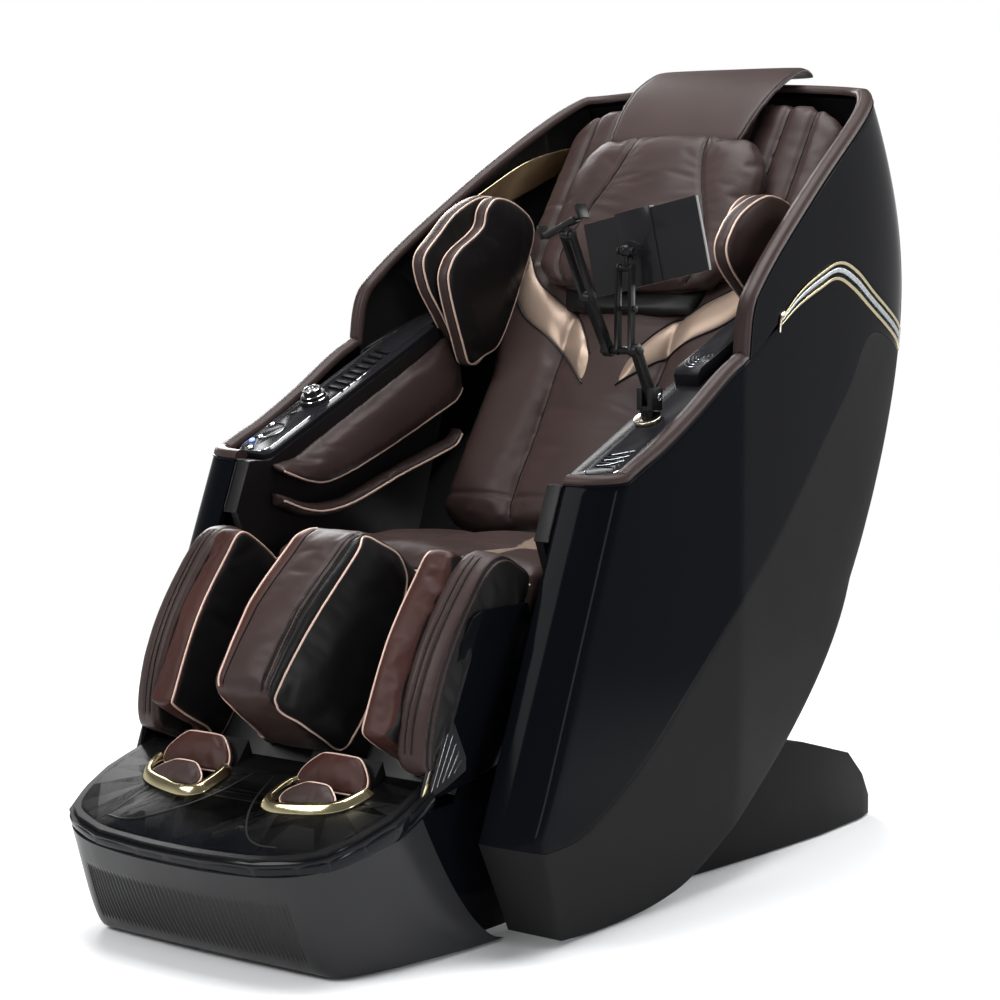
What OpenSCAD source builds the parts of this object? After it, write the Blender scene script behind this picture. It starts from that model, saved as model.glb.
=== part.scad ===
// Reclining massage chair with a one-piece pod, a swinging leg rest, a sliding
// foot housing and a swivelling holder for a tablet and a phone.
//
// Frame: millimetres, +Z up, the sitter faces -Y and the sitter's left is +X.
// The origin is on the underside of the base frame, between its runners.
//
// The pod's outer skin is one formula: skin_x() gives the half width at any
// point of the side view, and back_skin() closes it behind the back rest. All
// shells, linings, trims and rims are patches of that skin.

/* [Pod] */
// Outside width across both side shells
pod_w = 800; // [780:5:830]
// Height of the pod's upper edge at the head
pod_top_z = 1252; // [1240:1:1265]
// Distance of the rearmost shell behind the origin
pod_back_y = 876; // [860:2:890]
// Height at which the back shell stands out furthest
waist_z = 900; // [880:5:920]
// How far the back shell comes forward from the waist to the floor
lower_sweep = 760; // [740:5:780]
// Most that the back shell comes forward below the waist
cradle_in = 235; // [225:5:245]
// How far the back shell comes forward from the waist to the head
upper_sweep = 180; // [160:5:200]
// Distance behind the origin where the sides start to close in
taper_y = 100; // [80:5:120]
// Closing in of each side, in mm per mm of depth
taper_rate = 0.13; // [0.11:0.01:0.15]
// Tuck of the side shell at floor level
tuck_in = 30; // [20:1:36]
// Height where that tuck starts
tuck_z = 250; // [220:10:280]
// Wall thickness of the moulded shells
shell_t = 12; // [8:1:14]
// Joint gap between neighbouring shells and trims
panel_gap = 0.8; // [0.5:0.1:0.9]

/* [Arms] */
// Height of the arm's front corner
arm_z = 655; // [645:1:665]
// Distance of that corner in front of the origin
arm_front = 262; // [256:1:268]
// Lean of the arm's front edge from the vertical
front_lean = 22.5; // [20:0.5:24]
// Half width at which the front face of a shell ends
face_in = 320; // [316:1:326]
// Depth over which the shell turns from its side to its front face
face_turn = 48; // [40:1:56]
// Height of the lower end of the gloss panel's front edge
lip_z = 168; // [160:1:176]
// Slope of the console deck
deck_slope = 24; // [22:0.5:26]
// Half width of the sitter's space between the arm liners
cabin_half = 290; // [286:1:294]
// Wall thickness of the padded liners
liner_t = 14; // [10:1:16]
// Depth of the control console body
console_d = 46; // [40:1:56]

/* [Leather rim] */
// Width of the padded rim on the shell's edge
rim_w = 27; // [24:1:30]
// Height of that rim
rim_h = 15; // [12:1:18]

/* [Seat and back] */
// Height of the seat surface at its rear end
seat_z = 521; // [516:1:526]
// Depth of the seat cushion from its front edge to the back rest
seat_depth = 412; // [400:2:420]
// Thickness of the seat cushion
seat_t = 86; // [76:1:90]
// Distance of the back rest's lower edge behind the origin
back_foot_y = 149; // [144:1:154]
// Lean of the back rest from the vertical
back_lean = 33.4; // [32:0.1:35]
// Length of the back cushion
back_len = 872; // [860:1:880]
// Thickness of the back cushion
back_t = 88; // [78:1:94]
// Half width of the back cushion between the arms
back_half = 274; // [266:1:280]
// Half width of the back cushion above the arms
wing_half = 300; // [294:1:304]

/* [Head pillow] */
// Width of the pillow at its widest
pillow_w = 400; // [380:2:410]
// Distance of its lower edge along the back rest
pillow_s = 442; // [436:1:450]
// Length of the pillow
pillow_len = 312; // [300:1:318]
// Thickness of the pillow at its crown
pillow_t = 62; // [52:1:70]
// Width of the flap that holds the pillow
flap_w = 306; // [290:2:320]

/* [Airbags] */
// Thickness of one shoulder airbag
shoulder_bag_t = 30; // [24:1:34]
// Reach of an arm airbag from its liner
arm_bag_reach = 30; // [24:1:34]

/* [Leg rest] */
// Half width of the leg rest
leg_half = 287; // [284:1:288]
// Lean of the leg rest from the vertical at rest
leg_lean = 33; // [31:0.5:35]
// Length of the calf bolsters
calf_len = 316; // [306:1:322]
// Width of one calf channel
calf_gap = 74; // [66:1:78]

/* [Foot housing] */
// Half width of the foot tray
tray_half = 281; // [276:1:284]
// Distance of the tray's front lip in front of the origin
tray_front = 757; // [750:1:764]
// Height of the tray's front lip
tray_z = 171; // [168:1:176]
// Slope of the tray
tray_slope = 18.8; // [18:0.2:19.6]
// Inner radius of a foot ring
ring_r = 64; // [60:1:68]
// Width of a foot ring
ring_w = 13; // [10:1:15]
// Distance of each foot's centre from the middle
foot_x = 125; // [120:1:130]

/* [Base] */
// Half width of the rear stance
stance_half = 336; // [330:1:340]
// Length of the base runners
runner_len = 875; // [860:5:900]
// Distance of the recline pivot behind the origin
pivot_y = 200; // [190:1:210]
// Height of the recline pivot
pivot_z = 330; // [320:1:340]
// Radius of the recline shaft
shaft_r = 12; // [9:0.5:14]
// Radius of a transport wheel
wheel_r = 26; // [22:1:28]

/* [Controls and holder] */
// Radius of the control knob
knob_r = 15; // [12:0.5:18]
// Radius of a push button
button_r = 5; // [4:0.25:6]
// Radius of the holder's swivel post
post_r = 9; // [7:0.5:10]
// Length of the holder's lower link
link_len = 81; // [76:1:86]
// Length of the tablet arm
tablet_arm_len = 148; // [142:1:156]
// Width of the tablet
tablet_w = 205; // [195:1:215]
// Height of the tablet
tablet_h = 112; // [106:1:120]

/* [Hidden] */
$fn = 48;
run_gap = 0.05;     // radial clearance of a running fit
soft_gap = 0.4;     // clearance round a soft piece
corner_n = 8;       // exponent of the superellipse in plan
seam_t = 0.93;      // share of the pod's depth at which side and back shells meet

// ---------- colours ----------
gloss = [0.06, 0.065, 0.08];
matte = [0.17, 0.17, 0.175];
leather = [0.24, 0.18, 0.17];
dark_leather = [0.10, 0.09, 0.09];
rose = [0.70, 0.52, 0.40];
gold = [0.78, 0.70, 0.46];
steel = [0.55, 0.56, 0.58];
black = [0.08, 0.08, 0.085];

// ---------- curves and patches ----------
function mix(a, b, t) = a + (b - a) * t;
function unit(v) = v / norm(v);
function rail4(a, b, c, d, t) =
    0.5 * (2 * b + (c - a) * t + (2 * a - 5 * b + 4 * c - d) * t * t
    + (3 * b - a - 3 * c + d) * t * t * t);
// point at share t of a smooth curve through pts
function curve(pts, t) =
    let (n = len(pts) - 1, k = min(n - 1, floor(t * n)), f = t * n - k,
        before = k == 0 ? 2 * pts[0] - pts[1] : pts[k - 1],
        after = k == n - 1 ? 2 * pts[n] - pts[n - 1] : pts[k + 2])
    rail4(before, pts[k], pts[k + 1], after, f);
function trace(pts, steps) = [for (i = [0:steps]) curve(pts, i / steps)];
function vsum(v, i = 0) = i == len(v) ? 0 : v[i] + vsum(v, i + 1);
function vmax(v) = max(v);

// closed slab between an outer and an inner grid of points
module slab(outer, inner) {
    m = len(outer) - 1;
    n = len(outer[0]) - 1;
    base = (m + 1) * (n + 1);
    function a(i, j) = i * (n + 1) + j;
    function b(i, j) = base + a(i, j);
    function quad(p, q, r, s) = [[p, q, r], [p, r, s]];
    points = concat([for (row = outer) each row], [for (row = inner) each row]);
    faces = concat(
        [for (i = [0:m - 1], j = [0:n - 1])
            each quad(a(i, j), a(i, j + 1), a(i + 1, j + 1), a(i + 1, j))],
        [for (i = [0:m - 1], j = [0:n - 1])
            each quad(b(i, j), b(i + 1, j), b(i + 1, j + 1), b(i, j + 1))],
        [for (i = [0:m - 1])
            each quad(a(i, 0), a(i + 1, 0), b(i + 1, 0), b(i, 0))],
        [for (i = [0:m - 1])
            each quad(a(i + 1, n), a(i, n), b(i, n), b(i + 1, n))],
        [for (j = [0:n - 1])
            each quad(a(0, j + 1), a(0, j), b(0, j), b(0, j + 1))],
        [for (j = [0:n - 1])
            each quad(a(m, j), a(m, j + 1), b(m, j + 1), b(m, j))]);
    polyhedron(points, faces);
}

// closed body through a list of rings with equal numbers of points
module loft(rings) {
    n = len(rings[0]);
    last = len(rings) - 1;
    points = concat([for (r = rings) each r]);
    faces = concat(
        [for (i = [0:last - 1], j = [0:n - 1]) let (k = (j + 1) % n)
            each [[i * n + j, (i + 1) * n + j, (i + 1) * n + k],
                [i * n + j, (i + 1) * n + k, i * n + k]]],
        [[for (j = [0:n - 1]) j]],
        [[for (j = [n - 1:-1:0]) last * n + j]]);
    polyhedron(points, faces);
}

// both sides of the chair
module both() {
    children();
    mirror([1, 0, 0]) children();
}

// plate with a side-view profile [y, z] from x0 to x1
module side_plate(profile, x0, x1)
    translate([x0, 0, 0]) rotate([90, 0, 90]) linear_extrude(x1 - x0) polygon(profile);

// round bar along X from x0 to x1 at [y, z]
module rod_x(x0, x1, r, y, z)
    translate([x0, y, z]) rotate([0, 90, 0]) cylinder(h = x1 - x0, r = r);

// upholstered block on the XY plane, its grid lines at the shares us of the half
// width and at ys; cut_u and cut_y are the lines of its stitched channels
function swell(e, r) = e >= r ? 1 : sqrt(1 - pow(1 - max(0, e) / r, 2));
function dip(v, cuts, near, by) = vmax([0, for (c = cuts) by * (1 - abs(v - c) / near)]);
function top_z(u, y, half, y0, y1, t, r, crown, cut_u, cut_y) =
    t * (0.42 + 0.58 * swell(min((1 - abs(u)) * half, y - y0, y1 - y), r))
    + crown * (1 - u * u) - dip(u * half, [for (c = cut_u) c * half], 9, 5)
    - dip(y, cut_y, 9, 5);
module upholstery(us, ys, half, t, r = 26, crown = 6, cut_u = [], cut_y = []) {
    y0 = ys[0];
    y1 = ys[len(ys) - 1];
    function span(j) = half[j];
    function pull(u, y) = 1 - 0.05 * pow(abs(u), 6) * pow(abs(2 * (y - y0) / (y1 - y0) - 1), 8);
    function mid_y(u, y) = let (m = (y0 + y1) / 2) m + (y - m) * pull(u, y);
    slab([for (u = us) [for (j = [0:len(ys) - 1])
            [u * span(j) * pull(u, ys[j]), mid_y(u, ys[j]),
                top_z(u, ys[j], half[j], y0, y1, t, r, crown, cut_u, cut_y)]]],
        [for (u = us) [for (j = [0:len(ys) - 1])
            [u * (span(j) - 7) * pull(u, ys[j]), mix(mid_y(u, ys[j]), (y0 + y1) / 2, 0.02), 0]]]);
}

// frames of the back rest (x, up the back, towards the sitter), of the console
// deck, of the leg rest (x, down the leg, outwards) and of the foot tray
module on_back() translate([0, back_foot_y, seat_z]) rotate([90 - back_lean, 0, 0]) children();
module on_deck() translate([0, deck_y, deck_z]) rotate([deck_slope, 0, 0]) children();
module on_leg()
    translate([0, leg_y, seat_z - 1]) rotate([-90 - leg_lean, 0, 0]) mirror([0, 0, 1]) children();
module on_tray() translate([0, -tray_front, tray_z]) rotate([tray_slope, 0, 0]) children();

// ---------- the pod's skin ----------
half_w = pod_w / 2;
function back_y(z) = z < waist_z
    ? pod_back_y - min(lower_sweep * pow((waist_z - z) / waist_z, 1.86), cradle_in)
    : pod_back_y - upper_sweep * pow((z - waist_z) / (pod_top_z - waist_z), 2);
function taper_x(y) = half_w - taper_rate * max(0, y - taper_y);
function depth_t(y, z) = max(0, (y - taper_y) / (back_y(z) - taper_y));
function front_y(z) = z > lip_z
    ? -arm_front - (arm_z - z) * tan(front_lean)
    : -arm_front - (arm_z - lip_z) * tan(front_lean) + (lip_z - z) * 0.5;
function side_x(y, z) =
    taper_x(y) * pow(max(0.0001, 1 - pow(depth_t(y, z), corner_n)), 1 / corner_n)
    - tuck_in * pow(max(0, 1 - z / tuck_z), 2);
function skin_x(y, z) = let (d = (y - front_y(z)) / face_turn, w = side_x(y, z))
    d >= 1 ? w : face_in + (w - face_in) * sqrt(1 - pow(1 - max(0, d), 2));
function skin(p) = [skin_x(p.x, p.y), p.x, p.y];
function skin_n(p) = let (e = 0.4,
        dy = (skin_x(p.x + e, p.y) - skin_x(p.x - e, p.y)) / (2 * e),
        dz = (skin_x(p.x, p.y + e) - skin_x(p.x, p.y - e)) / (2 * e))
    unit([1, -max(-4, min(4, dy)), -max(-4, min(4, dz))]);
// the same surface behind the back rest, by its x and z
function back_skin(x, z) = let (
        w0 = taper_x(back_y(z)),
        y0 = taper_y + (back_y(z) - taper_y) * pow(1 - pow(abs(x) / w0, corner_n), 1 / corner_n),
        w = taper_x(y0))
    [x, taper_y + (back_y(z) - taper_y) * pow(1 - pow(abs(x) / w, corner_n), 1 / corner_n), z];
function seam_y(z) = taper_y + seam_t * (back_y(z) - taper_y);

// shell patch between a lower and an upper side-view curve, inset by "depth"
module patch(lower, upper, steps, rows, depth = 0, t = shell_t, nose = [], bow = 0) {
    turned = [for (d = nose == [] ? [] : [0, 2, 7, 16, 30]) let (
            z0 = mix(nose.x, lower[0].y, d / face_turn),
            z1 = mix(nose.y, upper[0].y, d / face_turn))
        [for (j = [0:rows]) let (z = mix(z0, z1, j / rows)) [front_y(z) + d, z]]];
    // a rear edge that bows out to stay on the seam
    ends = [lower[len(lower) - 1], upper[len(upper) - 1]];
    swing = [for (j = [0:rows]) let (p = mix(ends[0], ends[1], j / rows))
        bow * (seam_y(p.y) - mix(seam_y(ends[0].y), seam_y(ends[1].y), j / rows))];
    side = concat(turned, [for (i = [0:steps]) [for (j = [0:rows])
        mix(curve(lower, i / steps), curve(upper, i / steps), j / rows)
            + [swing[j] * pow(i / steps, 3), 0]]]);
    // round the nose the walls run level, so that shells that meet there stay apart
    inward = [for (i = [0:len(side) - 1]) [for (p = side[i]) let (n = skin_n(p))
        unit([n.x, n.y, nose == [] ? n.z : n.z * max(0, min(1, (i - 4) / 10))])]];
    function inset(d) = [for (i = [0:len(side) - 1]) [for (j = [0:rows])
        skin(side[i][j]) - d * inward[i][j]]];
    slab(inset(depth), inset(depth + t));
}

// ---------- side-view curves of the pod, [y, z] ----------
step_foot = [118, arm_z + 166];
arm_rim = [[front_y(arm_z + 4) + face_turn, arm_z + 4], [-173, arm_z + 21],
    [-117, arm_z + 44], [-30, arm_z + 88], [60, arm_z + 140], step_foot];
head_rim = [step_foot, [132, arm_z + 238], [168, arm_z + 278], [260, 1000], [410, 1096],
    [520, 1160], [598, 1203], [seam_y(1238) - panel_gap, 1238]];
trim_low = [[230, 868], [300, 896], [386, 920], [456, 934], [530, 914], [628, 872],
    [seam_y(800) - panel_gap, 800]];
trim_high = [[240, 884], [306, 920], [390, 948], [470, 964], [545, 948], [640, 904],
    [seam_y(834) - panel_gap, 834]];
gloss_low = [[front_y(153) + face_turn, 153], [-334, 157], [-268, 183], [-161, 246],
    [-32, 344], [96, 444], [200, 508], [298, 577], [410, 666], [524, 754], [626, 840]];
skirt_low = [[front_y(9) + face_turn, 9], [-250, 4], [-160, 5], [-75, 14], [0, 36], [120, 105], [285, 204], [414, 292],
    [530, 392], [seam_y(560) - 2, 560], [seam_y(640) - 2, 640], [seam_y(720) - 2, 720]];

// ---------- shells ----------
shell_steps = 32;   // side shells that meet share their steps
module wing_panel()
    color(gloss) patch(
        concat([step_foot + [4, 2], [186, 852]],
            [for (p = trim_high) p + [0, panel_gap]]),
        head_rim, 28, 7, bow = 1);

module side_panel()
    color(gloss) patch(
        concat([for (p = gloss_low) p + [0, panel_gap]],
            [[seam_y(795) - 2, 795 + panel_gap]]),
        concat(arm_rim, [[186, 850]], [for (p = trim_low) p - [0, panel_gap]]),
        shell_steps, 9, nose = [lip_z + panel_gap, arm_z]);

module skirt()
    color(matte) patch(concat(skirt_low, [[seam_y(790) - 2, 790]]),
        concat(gloss_low, [[seam_y(795) - 2, 795]]), shell_steps, 5, nose = [30, lip_z]);

module wing_panel_left() wing_panel();
module wing_panel_right() mirror([1, 0, 0]) wing_panel();
module side_panel_left() side_panel();
module side_panel_right() mirror([1, 0, 0]) side_panel();
module skirt_left() skirt();
module skirt_right() mirror([1, 0, 0]) skirt();

module chevron_trims() color(gold) both() patch(trim_low, trim_high, 20, 2, -2, 10);

// the pod's upper edge behind the back rest
function top_edge(x) = let (w = skin_x(seam_y(1238), 1238))
    1238 + (pod_top_z - 1238) * (1 - pow(abs(x) / w, 2));
back_steps = 14;
module back_cover() color(matte) {
    outer = [for (i = [0:back_steps]) [for (k = [0:14])
        let (c = 1 - 2 * i / back_steps, z0 = mix(560, 1238, k / 14),
            xs = skin_x(seam_y(z0), z0) - panel_gap, x = xs * c,
            z = mix(560, top_edge(x), k / 14))
        back_skin(x, z)]];
    // the wall turns from facing rearwards to facing the side shells at its edges
    slab(outer, [for (i = [0:back_steps]) let (c = 1 - 2 * i / back_steps, k = pow(abs(c), 6))
        [for (q = outer[i]) q - [sign(c) * 14 * k, shell_t * sqrt(1 - k), 0]]]);
}

// ---------- padded rim, linings and liners ----------
rim_path = concat([for (d = [0, 3, 9, 18, 29, 39])
        let (z = arm_z + 4 * d / face_turn) skin([front_y(z) + d, z])],
    [for (p = trace(arm_rim, 18)) skin(p)],
    [for (k = [1:30]) skin(curve(head_rim, k / 30))],
    [for (k = [1:7]) let (x = skin_x(seam_y(1238), 1238) * (1 - k / 7)) back_skin(x, top_edge(x))]);
rim_dome = [[0.6, 0.6], [0.2, 6], [3, 10.5], [9, 14.2], [18, 14.6], [24.5, 10.5], [27, 5], [26.4, 0.6]];
module rim_half() {
    last = len(rim_path) - 1;
    loft([for (i = [0:last]) let (
            along = unit(rim_path[min(last, i + 1)] - rim_path[max(0, i - 1)]),
            flat = unit([along.x, along.y, 0]),
            out = i == last ? [0, 1, 0] : [flat.y, -flat.x, 0],
            lift = unit(cross(along, -out)),
            up = lift.z > 0 || (lift.z > -0.3 && lift.y < 0) ? lift : -lift)
        [for (k = [len(rim_dome) - 1:-1:0]) let (q = rim_dome[k]) rim_path[i] - out * q.x * rim_w / 27 + up * q.y * rim_h / 15]]);
}
module leather_rim() color(leather) both() rim_half();

lining_low = [[124, 808], [250, 856], [420, 905], [560, 950], [seam_y(1000) - 20, 1000]];
lining_high = [for (p = head_rim) p - [0, 1]];
module side_linings() color(dark_leather) both()
    patch(lining_low, lining_high, 18, 6, shell_t + 1.4, 10);

deck_y = -215;
deck_z = arm_z + 5;
function deck_at(y) = deck_z + (y - deck_y) * tan(deck_slope);
liner_side = [[-291, 575], [-268, 520], [-262, 460], [150, 460], [232, 700], [252, 790],
    [252, 812], [222, deck_at(222) - 9], [deck_y, deck_z - 9], [deck_y - 32, arm_z - 1],
    [front_y(arm_z) + 3, arm_z - 1]];
module arm_liners() color(leather) both() {
    side_plate(liner_side, cabin_half, cabin_half + liner_t);
    side_plate([[front_y(arm_z) + 1, arm_z - 1], [front_y(575) + 1, 575],
        [front_y(575) + 14, 575], [front_y(arm_z) + 14, arm_z - 1]], cabin_half, face_in - 3.4);
    translate([0, 0, arm_z - 13]) linear_extrude(10)
        polygon([[cabin_half + 4, front_y(arm_z) + 14], [345, -246], [366, -220],
            [366, -200], [cabin_half + 4, -200]]);
}

// ---------- arm consoles, in the deck frame (x, along the deck, up) ----------
deck_plan = [[cabin_half + 1, 14], [cabin_half + 5, 4], [cabin_half + 14, 0], [360, 6],
    [369, 16], [371.5, 30], [371.5, 320], [365, 420], [354, 504], [cabin_half + 18, 504],
    [cabin_half + 16, 476], [cabin_half + 1, 466]];
module console_body() difference() {
    union() {
        translate([0, 0, -8]) linear_extrude(8) polygon(deck_plan);
        translate([cabin_half + liner_t + 1, 14, -console_d]) cube([48, 470, console_d - 7]);
    }
    translate([cabin_half + liner_t + 4, 17, -console_d - 1]) cube([42, 464, console_d - 8]);
    // groove of the inlaid edge strip
    translate([cabin_half + 17, 24, -0.8]) cube([1.6, 470, 2]);
}
module ridge(r) difference() {
    cylinder(h = 0.8, r = r);
    translate([0, 0, -1]) cylinder(h = 3, r = r - 1.4);
}
knob_at = [338, 183];
ring_at = [322, 184];
module console_right() color(gloss) on_deck() mirror([1, 0, 0]) difference() {
    union() {
        console_body();
        translate(knob_at) cylinder(h = 5, r = 1.6 * knob_r);
        // arc round the front buttons
        translate([352, 78, 0]) intersection() {
            ridge(26);
            translate([-30, -30, 0]) cube([44, 60, 1]);
        }
        translate([350, 139, 0]) cylinder(h = 1.2, r = 6);
    }
    translate([knob_at.x, knob_at.y, -4]) cylinder(h = 20, r = 5 + run_gap);
    for (b = button_at) translate([b.x, b.y, -9]) cylinder(h = 20, r = button_r + 0.15);
}
module console_left() color(gloss) on_deck() difference() {
    console_body();
    for (k = [0:4]) translate([318, 36 + 9 * k, -2]) cube([30, 4, 3]);
}
module charger_pad() color(matte) on_deck() {
    rotate([90, 0, 90]) translate([0, 0, 302])
        linear_extrude(44) polygon([[298, 0.05], [478, 0.05], [480, 20], [312, 24], [300, 18]]);
    for (r = [8, 14, 20]) translate([324, 350, 22.6]) rotate([-1.4, 0, 0]) ridge(r);
}
module key_bars() color(steel) on_deck() mirror([1, 0, 0]) {
    translate([311, 214, 0.05]) cube([40, 158, 1.2]);
    for (k = [0:6]) translate([313, 222 + 21 * k, 0.6]) rotate([0, 0, 14]) cube([34, 7, 3]);
}
module control_knob() color(steel) on_deck() mirror([1, 0, 0]) translate(knob_at) {
    translate([0, 0, -3.6]) cylinder(h = 9, r = 5);
    difference() {
        union() {
            translate([0, 0, 5.2]) cylinder(h = 10, r = 1.35 * knob_r);
            translate([0, 0, 15.2]) cylinder(h = 8, r = knob_r);
        }
        translate([0, 0, 21.6]) cylinder(h = 3, r = 0.7 * knob_r);
    }
    translate([0, 0.8 * knob_r, 22]) cylinder(h = 1.8, r = 1.4);
}
button_at = [[361, 42], [352, 54], [361, 96], [345, 18]];
module button(b) color(steel) on_deck() mirror([1, 0, 0]) translate([b.x, b.y, -6]) {
    cylinder(h = 8, r = button_r);
    translate([0, 0, 8]) cylinder(h = 1, r1 = button_r, r2 = button_r - 1);
}
module button_1() button(button_at[0]);
module button_2() button(button_at[1]);
module button_3() button(button_at[2]);
module button_4() button(button_at[3]);

// ---------- cushions ----------
us = [-1, -0.94, -0.84, -0.68, -0.5, -0.36, -0.18, 0, 0.18, 0.36, 0.5, 0.68, 0.84, 0.94, 1];
module seat_cushion() color(leather)
    translate([0, -(seat_depth - back_foot_y), seat_z - seat_t + 1.4]) rotate([-3, 0, 0])
        translate([0, 0, 19]) upholstery(us, [0, 12, 36, 90, 160, 172, 240, 300, 360, 386, 396],
            [for (k = [0:10]) cabin_half - 22], seat_t - 12, 34, 12, [-0.36, 0.36], [172]);

back_s = [0, 20, 60, 130, 210, 290, 330, 370, 420, 500, 580, 660, 740, 800, 840, 862, back_len];
function half_at(s) = s < 300 ? back_half : s < 370 ? mix(back_half, wing_half, (s - 300) / 70)
    : s < 800 ? wing_half : wing_half - 78 * pow((s - 800) / 72, 2);
function back_top(x, s) = top_z(x / half_at(s), s, half_at(s), 0, back_len, back_t, 30, 8,
    [-0.36, 0.36], []) - back_t;
module back_cushion() color(leather) on_back() translate([0, 0, -back_t])
    upholstery(us, back_s, [for (s = back_s) half_at(s)], back_t, 30, 8, [-0.36, 0.36], []);

// the two slanting bands that cross the back cushion under the pillow
module band(side) {
    rows = [for (i = [0:10]) [for (j = [0:4]) let (
        a = mix([46, 357], [230, 503], i / 10), b = mix([38, 279], [220, 427], i / 10),
        p = mix(b, a, j / 4), puff = 5 + 9 * sin(180 * j / 4) * min(1, (i + 1) / 2, (11 - i) / 2))
        [side * p.x, p.y, back_top(side * p.x, p.y) + puff]]];
    under = [for (row = rows) [for (q = row) [q.x, q.y, back_top(q.x, q.y) + soft_gap]]];
    slab(rows, under);
}
module back_inserts() color(rose) on_back() both() band(1);

pillow_lift = 9;
module head_pillow() color(leather) on_back() translate([0, 0, pillow_lift])
    upholstery(us, [for (k = [0, 10, 44, 98, 158, 200, 227, 266, 300, 312]) pillow_s + k * pillow_len / 312],
        [for (w = [140, 168, 200, 200, 200, 200, 198, 184, 164, 150]) w * pillow_w / 400],
        pillow_t - 14, 34, 14, [], []);

flap_path = [[pillow_s + pillow_len + 2, 38], [806, 33], [862, 16], [910, -10], [942, -36],
    [950, -64]];
module pillow_flap() color(leather) on_back() {
    outer = [for (u = [-1, -0.94, -0.5, 0, 0.5, 0.94, 1]) [for (j = [0:12])
        let (p = curve(flap_path, j / 12), q = curve(flap_path, min(1, (j + 0.5) / 12))
            - curve(flap_path, max(0, (j - 0.5) / 12)), n = unit([-q.y, q.x]),
            puff = abs(u) > 0.97 ? 5 : 10)
        [u * flap_w / 2, p.x + n.x * puff, p.y + n.y * puff]]];
    inner = [for (u = [-1, -0.94, -0.5, 0, 0.5, 0.94, 1]) [for (j = [0:12])
        let (p = curve(flap_path, j / 12)) [u * (flap_w / 2 - 3), p.x, p.y]]];
    slab(outer, inner);
}

// ---------- airbags ----------
module bag_back(outline, x0, x1) {
    mid = [for (k = [0, 1]) vsum([for (p = outline) p[k]]) / len(outline)];
    loft([for (s = [[0, 0.9], [0.16, 0.98], [0.5, 1], [0.84, 0.98], [1, 0.9]])
        [for (p = outline) let (q = mid + (p - mid) * s[1])
            [mix(x0, x1, s[0]), q.x, max(q.y, 9)]]]);
}
outer_bag = [[300, 9], [475, 9], [561, 10], [589, 66], [564, 147], [500, 200], [434, 224],
    [381, 238], [352, 215], [328, 160]];
inner_bag = [[398, 9], [545, 9], [590, 70], [578, 125], [543, 153], [508, 159], [475, 173],
    [439, 187], [417, 180], [402, 120]];
module shoulder_airbags() color(leather) on_back() both() {
    bag_back(outer_bag, wing_half + 1 - shoulder_bag_t, wing_half + 1);
    bag_back(inner_bag, wing_half - 35 - shoulder_bag_t, wing_half - 35);
}

arm_y = [-212, -160, -108, -35, 79, 170, 234, 254];
arm_up = [634, 616, 609, 625, 663, 697, 722, 742];
arm_low = [588, 570, 563, 572, 605, 628, 646, 664];
module arm_airbags() color(leather) both() {
    root = cabin_half - 0.3;
    tip = cabin_half - arm_bag_reach;
    loft([for (i = [0:7]) let (y = arm_y[i], z = arm_up[i],
            zt = min(deck_at(y) - 16, max(z + 12, deck_at(y) - 26), 1062 - 0.97 * y))
        [[root, y, z + 5], [tip + 8, y, z + 1], [tip, y, z], [tip - 1, y, mix(z, zt, 0.12)],
            [tip + 4, y, mix(z, zt, 0.45)], [tip + 16, y, mix(z, zt, 0.8)], [root, y, zt]]]);
    loft([for (i = [0:7]) let (y = arm_y[i], z = arm_low[i])
        [[root, y, z - 8], [tip + 8, y, z - 5], [tip, y, z], [tip + 3, y, z + 8],
            [tip + 14, y, z + 12], [root, y, z + 12]]]);
}

// ---------- speakers inside the head linings ----------
module speakers() color(gold) both() {
    patch([[432, 1052], [520, 1092], [598, 1126]], [[400, 1074], [520, 1128], [636, 1160]],
        8, 1, shell_t + 11.8, 4);
    difference() {
        translate([skin_x(470, 1046) - shell_t - 11.8, 470, 1046]) rotate([0, -90, 7.4])
            cylinder(h = 7, r = 22);
        for (a = [0:60:300])
            translate([skin_x(470, 1046) - shell_t - 10.6, 470, 1046]) rotate([0, -90, 7.4])
                rotate([0, 0, a]) translate([12, 0, 4]) cylinder(h = 12, r = 3.4, $fn = 12);
    }
}

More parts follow.
